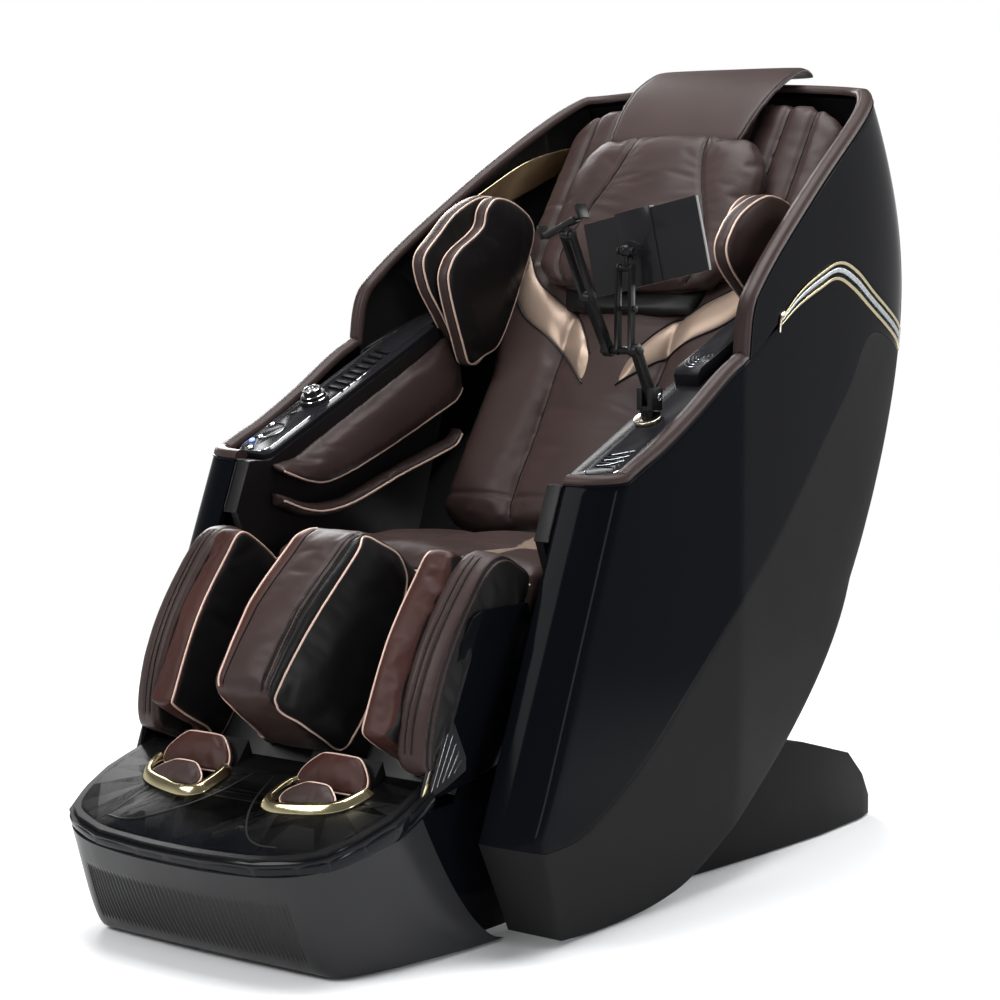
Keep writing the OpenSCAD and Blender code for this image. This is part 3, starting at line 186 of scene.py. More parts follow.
def brushed_group():
    """Fine drawn lines and small stains of a metal trim."""
    group, start, end = new_group(
        "Drawn Metal", [("Vector", "NodeSocketVector", None)],
        [("Height", "NodeSocketFloat"), ("Stain", "NodeSocketFloat")])
    stretched = add(group, "ShaderNodeMapping", Vector=start.outputs["Vector"], Scale=(1200.0, 60.0, 1200.0))
    lines = add(group, "ShaderNodeTexNoise", Vector=stretched.outputs[0], Scale=1.0, Detail=2.0)
    stain = add(group, "ShaderNodeTexNoise", Vector=start.outputs["Vector"], Scale=60.0, Detail=3.0)
    return finish_group(group, end, Height=lines.outputs[0], Stain=stain.outputs[0])


# ---------- materials ----------
def material(name):
    """Empty node material with a Principled shader; returns (material, tree, shader, coordinates)."""
    made = bpy.data.materials.new(name)
    made.use_nodes = True
    tree = made.node_tree
    where = tree.nodes.new("ShaderNodeTexCoord").outputs["Object"]
    return made, tree, tree.nodes["Principled BSDF"], where


def surface_group(tree, name, where, **values):
    """Node of one of the shared effects, read at a piece's own coordinates."""
    return add(tree, "ShaderNodeGroup", {"node_tree": bpy.data.node_groups[name]}, Vector=where, **values)


def vary(tree, shader, share, base, low, high):
    """Base colour that changes between two brightnesses of base as share goes from 0 to 1."""
    graded = tree.nodes.new("ShaderNodeMix")
    graded.data_type = "RGBA"
    tree.links.new(share, graded.inputs["Factor"])
    graded.inputs["A"].default_value = (*[c * low for c in base], 1)
    graded.inputs["B"].default_value = (*[min(1, c * high) for c in base], 1)
    tree.links.new(graded.outputs["Result"], shader.inputs["Base Color"])


def rough(tree, shader, share, low, high):
    """Roughness between low and high as share goes from 0 to 1."""
    span = add(tree, "ShaderNodeMapRange", Value=share, To_Min=low, To_Max=high)
    tree.links.new(span.outputs["Result"], shader.inputs["Roughness"])


def bump(tree, shader, height, strength, distance):
    """Relief of the surface from a height; the distance is in metres."""
    node = add(tree, "ShaderNodeBump", Strength=strength, Distance=distance, Height=height)
    tree.links.new(node.outputs["Normal"], shader.inputs["Normal"])


def leather(name, base, low=0.34, high=0.47, crease=0.5, metallic=0.0, level=0.17):
    """Grained leather whose roughness lies between low and high."""
    made, tree, shader, where = material(name)
    grain = surface_group(tree, "Leather Grain", where, Crease_Strength=crease)
    vary(tree, shader, grain.outputs["Tone"], base, 0.72, 1.3)
    rough(tree, shader, grain.outputs["Tone"], low, high)
    bump(tree, shader, grain.outputs["Height"], 0.22, 0.0006)
    shader.inputs["Metallic"].default_value = metallic
    shader.inputs["Specular IOR Level"].default_value = level
    return made


def moulded(name, base, low, high, strength, level=0.5):
    """Moulded or lacquered plastic; strength is that of its fine texture."""
    made, tree, shader, where = material(name)
    grain = surface_group(tree, "Moulded Surface", where)
    vary(tree, shader, grain.outputs["Tone"], base, 0.85, 1.15)
    rough(tree, shader, grain.outputs["Smudge"], low, high)
    if strength:
        bump(tree, shader, grain.outputs["Height"], strength, 0.0004)
    shader.inputs["Specular IOR Level"].default_value = level
    return made


def metal(name, base, low, high, metallic=1.0):
    """Drawn or painted metal."""
    made, tree, shader, where = material(name)
    lines = surface_group(tree, "Drawn Metal", where)
    vary(tree, shader, lines.outputs["Stain"], base, 0.9, 1.08)
    rough(tree, shader, lines.outputs["Stain"], low, high)
    bump(tree, shader, lines.outputs["Height"], 0.05, 0.0002)
    shader.inputs["Metallic"].default_value = metallic
    return made


def lit_material(name, tint, strength):
    """Lamp behind a smoked lens."""
    made, tree, shader, where = material(name)
    vary(tree, shader, surface_group(tree, "Moulded Surface", where).outputs["Tone"], tint, 0.8, 1.0)
    shader.inputs["Emission Color"].default_value = (*tint, 1)
    shader.inputs["Emission Strength"].default_value = strength
    return made


MATERIALS = {}


def build_materials():
    """Makes each finish once."""
    leather_group()
    moulding_group()
    brushed_group()
    c = colours()
    MATERIALS.update({
        "gloss": moulded("gloss_lacquer", c.gloss, 0.06, 0.11, 0.0, level=0.022),
        "matte": moulded("matte_moulding", c.matte, 0.46, 0.58, 0.35, level=0.05),
        "tray": moulded("tray_lacquer", [1.6 * k for k in c.gloss], 0.07, 0.13, 0.0, level=0.14),
        "satin": moulded("satin_moulding", c.satin, 0.26, 0.36, 0.12, level=0.15),
        "black": moulded("black_plastic", (0.007, 0.007, 0.0075), 0.28, 0.4, 0.15, level=0.16),
        "rubber": moulded("rubber", (0.02, 0.02, 0.02), 0.7, 0.85, 0.4),
        "glass": moulded("tablet_glass", (0.012, 0.012, 0.013), 0.08, 0.14, 0.0, level=0.14),
        "smoked": moulded("smoked_panel", (0.011, 0.011, 0.013), 0.2, 0.3, 0.0, level=0.06),
        "brown": leather("brown_leather", c.brown),
        "dark": leather("black_leather", c.dark, 0.3, 0.42, 0.4),
        "maroon": leather("maroon_leather", c.maroon, 0.38, 0.5, 0.3),
        "rose": leather("rose_leather", c.rose, 0.3, 0.42, 0.3, metallic=0.45),
        "piping": leather("piping", c.piping, 0.35, 0.45, 0.0, metallic=0.15),
        "thread": leather("thread", (0.10, 0.075, 0.065), 0.6, 0.75, 0.0),
        "gold": metal("gold_trim", c.gold, 0.12, 0.22),
        "champagne": metal("champagne_trim", (0.88, 0.76, 0.62), 0.14, 0.24),
        "chrome": metal("chrome", (0.78, 0.79, 0.81), 0.08, 0.16),
        "silver": metal("satin_silver", (0.56, 0.60, 0.64), 0.22, 0.32),
        "steel": metal("painted_steel", (0.022, 0.022, 0.024), 0.4, 0.55, metallic=0.3),
        "blue": lit_material("blue_lamp", (0.25, 0.35, 1.0), 1.2),
    })


# ---------- curves ----------
def mix(a, b, t):
    """Value at share t of the way from a to b."""
    return a + (b - a) * t


def ramp(value):
    """Value kept between 0 and 1."""
    return min(1, max(0, value))


def spline(points, t, closed=False):
    """Point at share t of a smooth curve through points."""
    n = len(points)
    spans = n if closed else n - 1
    k = min(spans - 1, int(floor(t * spans)))
    f = t * spans - k

    def at(i):
        if closed:
            return Vector(points[i % n])
        if i < 0:
            return 2 * Vector(points[0]) - Vector(points[1])
        if i >= n:
            return 2 * Vector(points[-1]) - Vector(points[-2])
        return Vector(points[i])
    a, b, c, d = (at(k + i) for i in (-1, 0, 1, 2))
    square, cube = 2 * a - 5 * b + 4 * c - d, 3 * b - a - 3 * c + d
    return 0.5 * (2 * b + (c - a) * f + square * f ** 2 + cube * f ** 3)


def trace(points, steps, closed=False):
    """Points along the whole smooth curve."""
    count = steps if closed else steps + 1
    return [spline(points, i / steps, closed) for i in range(count)]


def widthwise(half, step):
    """Places from one side of the chair to the other."""
    return range(-half, half + 1, step)


def arc(x, y, radius, start, sweep, steps, stretch=1.0):
    """Points of an arc from a start angle over a sweep, in degrees; stretch is along y."""
    turns = [radians(start + sweep * i / steps) for i in range(steps + 1)]
    return [(x + radius * cos(a), y + stretch * radius * sin(a)) for a in turns]


def spaced(points, gap, closed=False):
    """The same line with its points a steady gap apart."""
    line = list(points) + ([points[0]] if closed else [])
    lengths = [0.0]
    for a, b in zip(line, line[1:]):
        lengths.append(lengths[-1] + (b - a).length)
    count = max(2, round(lengths[-1] / gap))
    found, k = [], 0
    for i in range(count if closed else count + 1):
        target = lengths[-1] * i / count
        while k < len(line) - 2 and lengths[k + 1] < target:
            k += 1
        span = max(1e-9, lengths[k + 1] - lengths[k])
        found.append(line[k].lerp(line[k + 1], (target - lengths[k]) / span))
    return found


# ---------- local frames, in millimetres ----------
def hinged(origin_y, origin_z, angle, flip=1):
    """Frame turned about X: maps (x, along, up) to the chair's own millimetres."""
    c, s = cos(radians(angle)), sin(radians(angle))

    def place(x, along, up=0.0):
        return Vector((x, origin_y + along * c - flip * up * s, origin_z + along * s + flip * up * c))
    return place


SEAT_Z = 521
ARM_Z = 655
BACK_Y = 149
BACK_LEAN = 56.6
DECK_Y = -215
DECK_Z = ARM_Z + 5
DECK_RISE = 24
TRAY_Y = -757
TRAY_Z = 171
TRAY_RISE = 18.8
on_back = hinged(BACK_Y, SEAT_Z, BACK_LEAN)
on_deck = hinged(DECK_Y, DECK_Z, DECK_RISE)
on_leg = hinged(-300, SEAT_Z - 1, -123, flip=-1)
on_tray = hinged(TRAY_Y, TRAY_Z, TRAY_RISE)


def side_view(y, z, x=0.0):
    """Frame of outlines drawn in side view (y, z)."""
    return Vector((x, y, z))


# ---------- meshes ----------
MERGE = 1e-5  # metres


def surface(cols, rows, place):
    """bmesh grid whose vertex at the shares (u, v) is put at place(u, v), given in millimetres."""
    bm = bmesh.new()
    bmesh.ops.create_grid(bm, x_segments=cols, y_segments=rows, size=0.5)
    for vert in bm.verts:
        vert.co = place(ramp(vert.co.x + 0.5), ramp(vert.co.y + 0.5)) * MM
    bmesh.ops.remove_doubles(bm, verts=bm.verts, dist=MERGE)
    return bm


def close_ends(bm):
    """Fills the holes of a mesh and turns its faces outwards."""
    open_edges = [e for e in bm.edges if e.is_boundary]
    if open_edges:
        bmesh.ops.holes_fill(bm, edges=open_edges, sides=0)
    bmesh.ops.recalc_face_normals(bm, faces=bm.faces)
    return bm


def face_towards(bm, direction):
    """Turns an open surface so that most of it faces a direction."""
    bm.normal_update()
    total = sum((f.normal * f.calc_area() for f in bm.faces), Vector())
    if total.dot(Vector(direction)) < 0:
        bmesh.ops.reverse_faces(bm, faces=bm.faces)
    return bm


def thicken(bm, wall):
    """Gives an open surface a wall behind it."""
    bm.normal_update()
    bmesh.ops.solidify(bm, geom=bm.faces, thickness=wall * MM)
    bmesh.ops.recalc_face_normals(bm, faces=bm.faces)
    return bm


def round_edges(bm, radius, angle=35, segments=3):
    """Rounds the edges that bend by more than an angle."""
    bm.normal_update()
    edges = [e for e in bm.edges if len(e.link_faces) == 2 and e.calc_face_angle(0) > radians(angle)]
    if edges and radius > 0:
        bmesh.ops.bevel(bm, geom=edges, offset=radius * MM, offset_type="OFFSET", segments=segments,
                        profile=0.5, affect="EDGES", material=-1, clamp_overlap=True, loop_slide=True)
    return bm


def prism(outline, low, high, place):
    """Solid between two heights over an outline of (a, b) pairs."""
    bm = bmesh.new()
    face = bm.faces.new([bm.verts.new(place(a, b, low) * MM) for a, b in outline])
    top = bmesh.ops.extrude_face_region(bm, geom=[face])
    shift = place(0, 0, high) - place(0, 0, low)
    lid = [v for v in top["geom"] if isinstance(v, bmesh.types.BMVert)]
    bmesh.ops.translate(bm, vec=shift * MM, verts=lid)
    bmesh.ops.recalc_face_normals(bm, faces=bm.faces)
    return bm


def mirrored(bm, side):
    """The same mesh for one side of the chair."""
    if side < 0:
        bmesh.ops.scale(bm, vec=(-1, 1, 1), verts=bm.verts)
        bmesh.ops.reverse_faces(bm, faces=bm.faces)
    return bm


def join(meshes):
    """One bmesh from several."""
    whole = meshes[0]
    for other in meshes[1:]:
        spare = bpy.data.meshes.new("spare")
        other.to_mesh(spare)
        other.free()
        whole.from_mesh(spare)
        bpy.data.meshes.remove(spare)
    return whole


def raw_object(bm, name):
    """Object of a bmesh, which is used up."""
    mesh = bpy.data.meshes.new(name)
    bm.to_mesh(mesh)
    bm.free()
    obj = bpy.data.objects.new(name, mesh)
    bpy.context.scene.collection.objects.link(obj)
    return obj


def piece(bm, name, body, finish, slot, replaces=(), sharp=40, pick=None):
    """Mesh object that rides on a body. finish is one material or several; pick(face) chooses."""
    bm.normal_update()
    for face in bm.faces:
        face.smooth = True
        if pick:
            face.material_index = pick(face)
    for edge in bm.edges:
        if len(edge.link_faces) == 2:
            edge.smooth = edge.calc_face_angle(0) < radians(sharp)
    obj = raw_object(bm, name)
    for key in [finish] if isinstance(finish, str) else finish:
        obj.data.materials.append(MATERIALS[key])
    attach(obj, body)
    if replaces:
        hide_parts(*replaces)
    return obj


def both_sides(make, name, body, finish, slot, nodes=(), **more):
    """The same piece for each side of the chair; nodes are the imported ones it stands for, left first."""
    return [piece(mirrored(make(), side), name + label, body, finish, slot, nodes[k:k + 1], **more)
            for k, (side, label) in enumerate(SIDES)]


def node_mesh(node):
    """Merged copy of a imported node, its flat faces made whole."""
    bm = bmesh.new()
    bm.from_mesh(NODES[node].data)
    bmesh.ops.remove_doubles(bm, verts=bm.verts, dist=MERGE)
    bmesh.ops.dissolve_limit(bm, angle_limit=radians(0.6), verts=bm.verts, edges=bm.edges)
    return bm


def dressed(node, body, finish, radius, slot, angle=35, segments=2):
    """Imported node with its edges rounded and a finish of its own."""
    bm = round_edges(node_mesh(node), radius, angle, segments)
    return piece(bm, node + "_finish", body, finish, slot, (node,))


def painted(node, finish):
    """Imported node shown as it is, with a finish."""
    slots = NODES[node].data.materials
    slots.clear()
    slots.append(MATERIALS[finish])


def tube(points, radius, closed=False, sides=10):
    """Round bar along points, in metres."""
    count = len(points)
    frames = []
    up = None
    for i, p in enumerate(points):
        before = points[i - 1] if i or closed else p
        after = points[(i + 1) % count] if i < count - 1 or closed else p
        along = (after - before).normalized()
        if up is None:
            up = along.orthogonal().normalized()
        up = (up - along * up.dot(along)).normalized()
        frames.append((p, up, along.cross(up)))
    rings = count if closed else count - 1

    def place(u, v):
        p, a, b = frames[round(u * rings) % count]
        return (p + (a * cos(2 * pi * v) + b * sin(2 * pi * v)) * radius * MM) / MM
    bm = surface(rings, sides, place)
    return close_ends(bm)


def drop(points, mesh_bvh, lift):
    """Points moved onto a surface, with the surface's normals there."""
    found = []
    for p in points:
        spot, normal, _, _ = mesh_bvh.find_nearest(p)
        found.append((spot + normal * lift * MM, normal))
    return found


STITCH = (1.9, 0.55, 0.55)  # half length, width and height of a stitch


def point_tree(points):
    """Search tree over points."""
    tree = KDTree(len(points))
    for i, p in enumerate(points):
        tree.insert(p, i)
    tree.balance()
    return tree


def stitch_row(line):
    """Row of thread stitches along (point, normal) pairs, in metres."""
    bm = bmesh.new()
    spots = spaced([p for p, _ in line], sizes().stitch_pitch * MM)
    tree = point_tree([p for p, _ in line])
    for a, b in zip(spots, spots[1:]):
        along = (b - a).normalized()
        normal = line[tree.find(a)[1]][1]
        across = normal.cross(along).normalized()
        turn = Matrix((along, across, along.cross(across))).transposed().to_4x4()
        matrix = Matrix.Translation((a + b) / 2) @ turn @ Matrix.Diagonal((*[s * MM for s in STITCH], 1))
        bmesh.ops.create_icosphere(bm, subdivisions=1, radius=1, matrix=matrix)
    return bm


# ---------- the pod's skin, in millimetres ----------
POD_HALF = 400
TOP_Z = 1252
SEAM_TOP_Z = 1238
BACK_MOST = 876
WAIST_Z = 900
TAPER_Y = 100
TUCK_Z = 250
FACE_IN = 320
FACE_TURN = 48
LIP_Z = 168
GAP = 0.8
SHELL_T = 12
ARM_FRONT_Y = -262
FRONT_SLOPE = tan(radians(22.5))
TOE_SLOPE = 0.5  # the front runs back in again below the lip
BACK_LOW_Z = 560
NARROWING = 0.13  # of each side, per depth behind TAPER_Y
SQUARENESS = 8  # power of the plan's rounded rear corners
SEAM_SHARE = 0.93  # of the depth behind TAPER_Y


def back_y(z):
    """Rearmost depth at a height: swept in below the waist, leaning in above it."""
    if z < WAIST_Z:
        return BACK_MOST - min(760 * ((WAIST_Z - z) / WAIST_Z) ** 1.86, 235)
    return BACK_MOST - 180 * ((z - WAIST_Z) / (TOP_Z - WAIST_Z)) ** 2


def taper_x(y):
    """Half width before the rear corners are rounded."""
    return POD_HALF - NARROWING * max(0, y - TAPER_Y)


def front_y(z):
    """Depth of the leaning front face."""
    if z > LIP_Z:
        return ARM_FRONT_Y - (ARM_Z - z) * FRONT_SLOPE
    return ARM_FRONT_Y - (ARM_Z - LIP_Z) * FRONT_SLOPE + (LIP_Z - z) * TOE_SLOPE


def side_x(y, z):
    """Half width of the pod at a depth and a height."""
    depth = max(0, (y - TAPER_Y) / (back_y(z) - TAPER_Y))
    rounding = max(0.0001, 1 - depth ** SQUARENESS) ** (1 / SQUARENESS)
    return taper_x(y) * rounding - 30 * max(0, 1 - z / TUCK_Z) ** 2


def skin_x(y, z):
    """Half width with the nose turned in to the front face."""
    d = (y - front_y(z)) / FACE_TURN
    w = side_x(y, z)
    return w if d >= 1 else FACE_IN + (w - FACE_IN) * sqrt(1 - (1 - max(0, d)) ** 2)


def skin(p, inset=0.0):
    """Point of the outer skin at a side-view point (y, z), moved inwards by inset."""
    y, z = p[0], p[1]
    at = Vector((skin_x(y, z), y, z))
    if inset:
        at -= inset * skin_normal(p)
    return at


def skin_normal(p):
    """Outward normal of the skin, worked out over a small step."""
    y, z, e = p[0], p[1], 0.4
    dy = (skin_x(y + e, z) - skin_x(y - e, z)) / (2 * e)
    dz = (skin_x(y, z + e) - skin_x(y, z - e)) / (2 * e)
    return Vector((1, -max(-4, min(4, dy)), -max(-4, min(4, dz)))).normalized()


def back_skin(x, z):
    """Point of the rear skin at a width and a height."""
    w = taper_x(back_y(z))
    depth = back_y(z) - TAPER_Y
    for _ in range(2):
        y = TAPER_Y + depth * max(0, 1 - (abs(x) / w) ** SQUARENESS) ** (1 / SQUARENESS)
        w = taper_x(y)
    return Vector((x, y, z))


def seam_y(z):
    """Depth of the joint between the side shells and the back shell."""
    return TAPER_Y + SEAM_SHARE * (back_y(z) - TAPER_Y)


def raised(points, by):
    """Side-view outline moved up."""
    return [(p[0], p[1] + by) for p in points]


STEP_FOOT = (118, ARM_Z + 166)
ARM_RIM = [(front_y(ARM_Z + 4) + FACE_TURN, ARM_Z + 4), (-173, ARM_Z + 21), (-117, ARM_Z + 44),
           (-30, ARM_Z + 88), (60, ARM_Z + 140), STEP_FOOT]
HEAD_RIM = [STEP_FOOT, (132, ARM_Z + 238), (168, ARM_Z + 278), (260, 1000), (410, 1096), (520, 1160),
            (598, 1203), (seam_y(SEAM_TOP_Z) - GAP, SEAM_TOP_Z)]
TRIM_LOW = [(230, 868), (300, 896), (386, 920), (456, 934), (530, 914), (628, 872), (seam_y(800) - GAP, 800)]
TRIM_HIGH = [(240, 884), (306, 920), (390, 948), (470, 964), (545, 948), (640, 904), (seam_y(834) - GAP, 834)]
GLOSS_LOW = [(front_y(153) + FACE_TURN, 153), (-334, 157), (-268, 183), (-161, 246), (-32, 344), (96, 444),
             (200, 508), (298, 577), (410, 666), (524, 754), (626, 840)]
SKIRT_LOW = [(front_y(9) + FACE_TURN, 9), (-250, 4), (-160, 5), (-75, 14), (0, 36), (120, 105), (285, 204),
             (414, 292), (530, 392), (seam_y(560) - 2, 560), (seam_y(640) - 2, 640), (seam_y(720) - 2, 720)]


def patch(lower, upper, cols, rows, nose=None, bow=0, depth=0.0, low=0.0, high=1.0, wall=SHELL_T, edge=1.6):
    """Shell between two side-view curves on the pod's skin, with a rounded edge.

    nose holds the heights of the lower and upper corner of the front face that the shell turns
    round to; low and high take a share of the way from the lower to the upper curve.
    """
    turn = 0.16 if nose else 0.0
    ends = (Vector(lower[-1]), Vector(upper[-1]))

    def place(u, v):
        v = mix(low, high, v)
        if u < turn:
            d = FACE_TURN * (1 - cos(pi / 2 * u / turn))
            share = d / FACE_TURN
            z = mix(mix(nose[0], lower[0][1], share), mix(nose[1], upper[0][1], share), v)
            return skin((front_y(z) + d, z), depth)
        t = (u - turn) / (1 - turn)
        a, b = spline(lower, t), spline(upper, t)
        p = a.lerp(b, v)
        last = ends[0].lerp(ends[1], v)
        p.x += bow * (seam_y(last.y) - mix(seam_y(ends[0].y), seam_y(ends[1].y), v)) * t ** 3
        return skin(p, depth)
    bm = face_towards(surface(cols, rows, place), (1, 0, 0))
    return round_edges(thicken(bm, wall), edge, 50)


VENT_Z = 640
VENT_HALF = 120
VENT_SLATS = 9
VENT_PITCH = 12


def build_shells():
    """Gloss wing and side panels, matte skirts and the back cover."""
    edge = sizes().edge_r
    wing_low = [(STEP_FOOT[0] + 4, STEP_FOOT[1] + 2), (186, 852)] + raised(TRIM_HIGH, GAP)
    side_low = raised(GLOSS_LOW, GAP) + [(seam_y(796) - 2, 796)]
    side_high = ARM_RIM + [(186, 850)] + raised(TRIM_LOW, -GAP)
    skirt_low = SKIRT_LOW + [(seam_y(790) - 2, 790)]
    skirt_high = GLOSS_LOW + [(seam_y(795) - 2, 795)]
    shells = (("wing", "wing_panel", "gloss", lambda: patch(wing_low, HEAD_RIM, 90, 26, bow=1, edge=edge)),
              ("side", "side_panel", "gloss",
               lambda: patch(side_low, side_high, 140, 40, nose=(LIP_Z + GAP, ARM_Z), edge=edge)),
              ("skirt", "skirt", "matte",
               lambda: patch(skirt_low, skirt_high, 140, 26, nose=(30, LIP_Z), edge=edge)))
    for name, node, finish, make in shells:
        both_sides(make, name + "_shell", "pod", finish, finish + "_shell", (node + "_left", node + "_right"))

    def back_place(u, v):
        z0 = mix(BACK_LOW_Z, SEAM_TOP_Z, v)
        x = (skin_x(seam_y(z0), z0) - GAP) * (2 * u - 1)
        return back_skin(x, mix(BACK_LOW_Z, top_edge(x), v))
    bm = round_edges(thicken(face_towards(surface(80, 70, back_place), (0, 1, 0)), SHELL_T - 1), edge, 50)
    piece(bm, "back_shell", "pod", "matte", "matte_shell", ("back_cover",))
    # seal in the joint between the side shells and the back shell
    seal = [skin((seam_y(z), z), SHELL_T / 2) * MM for z in range(562, SEAM_TOP_Z + 1, 13)]
    both_sides(lambda: tube(seal, 3, sides=8), "shell_seal", "pod", "black", "black_plastic")
    # vent grille low on the back shell
    heights = [VENT_Z + VENT_PITCH * k for k in range(VENT_SLATS)]
    slats = [tube([back_skin(x, z) * MM for x in widthwise(VENT_HALF, 12)], 1.6, sides=6) for z in heights]
    piece(join(slats), "back_vent_slats", "pod", "black", "black_plastic")


def top_edge(x):
    """Height of the back shell's crowned top edge."""
    w = skin_x(seam_y(SEAM_TOP_Z), SEAM_TOP_Z)
    return SEAM_TOP_Z + (TOP_Z - SEAM_TOP_Z) * (1 - (abs(x) / w) ** 2)


def build_trims():
    """Chevron of the side shells: two gold lines, a silver bar and dark grooves."""
    slots = {"gold": "gold_trim", "silver": "chrome_trim", "gloss": "gloss_shell"}
    bands = (("gold_low", 0.0, 0.17, -2.6, "gold"), ("groove_low", 0.17, 0.40, 1.5, "gloss"),
             ("silver_bar", 0.40, 0.66, -2.2, "silver"), ("groove_high", 0.66, 0.84, 1.5, "gloss"),
             ("gold_high", 0.84, 1.0, -2.6, "gold"))
    for label, low, high, depth, finish in bands:
        def band():
            return patch(TRIM_LOW, TRIM_HIGH, 72, 4, depth=depth, low=low, high=high, wall=7, edge=1.1)
        both_sides(band, "chevron_" + label, "pod", finish, slots[finish],
                   ("chevron_trims",) if label == "gold_low" else ())
    # polished cap at the front end of the chevron
    line = [skin(p, -1.5) * MM for p in trace([(226, 858), (228, 872), (233, 884), (241, 889)], 14)]
    both_sides(lambda: tube(line, 2.4), "chevron_cap", "pod", "champagne", "gold_trim")


NOSE_STEPS, ARM_STEPS, HEAD_STEPS, TOP_STEPS = 8, 54, 80, 24


def rim_line():
    """Path of the padded rim: up the front corner, along the arm, round the head."""
    line = []
    for k in range(NOSE_STEPS):
        d = 39 * (1 - cos(pi / 2 * k / (NOSE_STEPS - 1)))
        z = ARM_Z + 4 * d / FACE_TURN
        line.append(skin((front_y(z) + d, z)))
    line += [skin(p) for p in trace(ARM_RIM, ARM_STEPS)]
    line += [skin(p) for p in trace(HEAD_RIM, HEAD_STEPS)[1:]]
    w = skin_x(seam_y(SEAM_TOP_Z), SEAM_TOP_Z)
    half = [w * (1 - k / TOP_STEPS) for k in range(1, TOP_STEPS + 1)]
    return line + [back_skin(x, top_edge(x)) for x in half]


# section of the rim: (distance in from the skin, height)
RIM_DOME = [(0.6, 0.6), (0.0, 3), (0.4, 6.5), (2.6, 10.2), (6, 13.2), (10, 14.6), (15, 14.9), (20, 13.6),
            (24, 11), (26.4, 7.5), (27, 4), (26.4, 0.6), (0.6, 0.6)]


def rim_frames():
    """(point, outward, upward) along the rim."""
    line = rim_line()
    last = len(line) - 1
    frames = []
    for i, p in enumerate(line):
        along = (line[min(last, i + 1)] - line[max(0, i - 1)]).normalized()
        flat = Vector((along.x, along.y, 0)).normalized()
        out = Vector((0, 1, 0)) if i == last else Vector((flat.y, -flat.x, 0))
        lift = along.cross(-out).normalized()
        if not (lift.z > 0 or (lift.z > -0.3 and lift.y < 0)):
            lift = -lift
        frames.append((p, out, lift))
    return frames


def along_rim(frames, across, height):
    """Line along the rim at a place of its dome."""
    return [(p - out * across + lift * height) * MM for p, out, lift in frames]


def build_rim():
    """Padded leather rim with its two seams and the gathered joint at the arm step."""
    frames = rim_frames()
    last = len(frames) - 1
    joint = NOSE_STEPS + ARM_STEPS

    def place(u, v):
        p, out, lift = frames[round(u * last)]
        t = v * (len(RIM_DOME) - 1)
        k = min(len(RIM_DOME) - 2, int(t))
        q = Vector(RIM_DOME[k]).lerp(Vector(RIM_DOME[k + 1]), t - k)
        near = max(0, 1 - abs(u * last - joint) / 2.2)
        pinch = 1 - 0.16 * near - 0.03 * sin(u * last * 0.9) * max(0, 1 - abs(u * last - joint) / 12)
        groove = 1.6 * max(0, 1 - abs(q.x - 21.5) / 1.6)
        return p - out * q.x + lift * (q.y * pinch - groove)
    up = Vector((0, -0.4, 1)).normalized()
    stitches = [(q, up) for q in along_rim(frames[6:], 17.5, 13.3)]
    for side, label in SIDES:
        made = piece(mirrored(close_ends(surface(last, 33, place)), side), "rim_pad" + label, "pod", "brown",
                     "brown_leather", ("leather_rim",) if side == LEFT else (), sharp=70)
        piece(mirrored(stitch_row(stitches), side), "rim_stitches" + label, "pod", "thread", "brown_leather")
        bead = tube(along_rim(frames, -0.2, 0.0), 1.7, sides=8)
        piece(mirrored(bead, side), "rim_bead" + label, "pod", "gloss", "gloss_shell")


LINING_LOW = [(124, 808), (250, 856), (420, 905), (560, 950), (seam_y(1000) - 20, 1000)]


def build_linings():
    """Padded linings of the head shells, with sewn channels, and the speakers in them."""
    def lining():
        """Padded wall inside the head shell, drawn in at its channels."""
        channels = (0.34, 0.52, 0.68, 0.82)
        lower, upper = LINING_LOW, raised(HEAD_RIM, -1)

        def place(u, v):
            a, b = spline(lower, u), spline(upper, u)
            groove = max(ramp(1 - abs(u - c) / 0.012) for c in channels)
            edge = min(v, 1 - v, u, 1 - u) / 0.06
            swell = 2.6 * sqrt(ramp(edge)) - 3.0 * groove
            return skin(a.lerp(b, v), SHELL_T + 1.6 - swell + 2.6)
        return thicken(face_towards(surface(150, 40, place), (-1, 0, 0)), 7)
    for made in both_sides(lining, "side_lining", "pod", "dark", "dark_leather", ("side_linings",), sharp=60):
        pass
    low = [(418, 1040), (520, 1078), (612, 1118)]
    high = [(388, 1070), (520, 1134), (650, 1166)]
    # round grille beside the trim
    at = (470, 1046)
    centre = skin(at, SHELL_T + 10.5)
    turn = skin_normal(at).to_track_quat("Z", "Y").to_matrix().to_4x4()
    flat = Matrix.Translation(centre * MM) @ turn @ Matrix.Diagonal((1, 1, 0.3, 1))
    circle = [(centre + turn @ Vector((x, y, 0))) * MM for x, y in arc(0, 0, 24, 0, 360, 48)[:-1]]
    for side, label in SIDES:
        trim = patch(low, high, 30, 10, depth=SHELL_T + 9.6, wall=5, edge=1.5)
        piece(mirrored(trim, side), "speaker_trim" + label, "pod", "gold", "gold_trim",
              ("speakers",) if side == LEFT else ())
        dome = bmesh.new()
        bmesh.ops.create_uvsphere(dome, u_segments=40, v_segments=20, radius=22 * MM, matrix=flat)
        piece(mirrored(dome, side), "speaker_grille" + label, "pod", "black", "black_plastic")
        ring = tube(circle, 1.8, closed=True)
        piece(mirrored(ring, side), "speaker_ring" + label, "pod", "gold", "gold_trim")


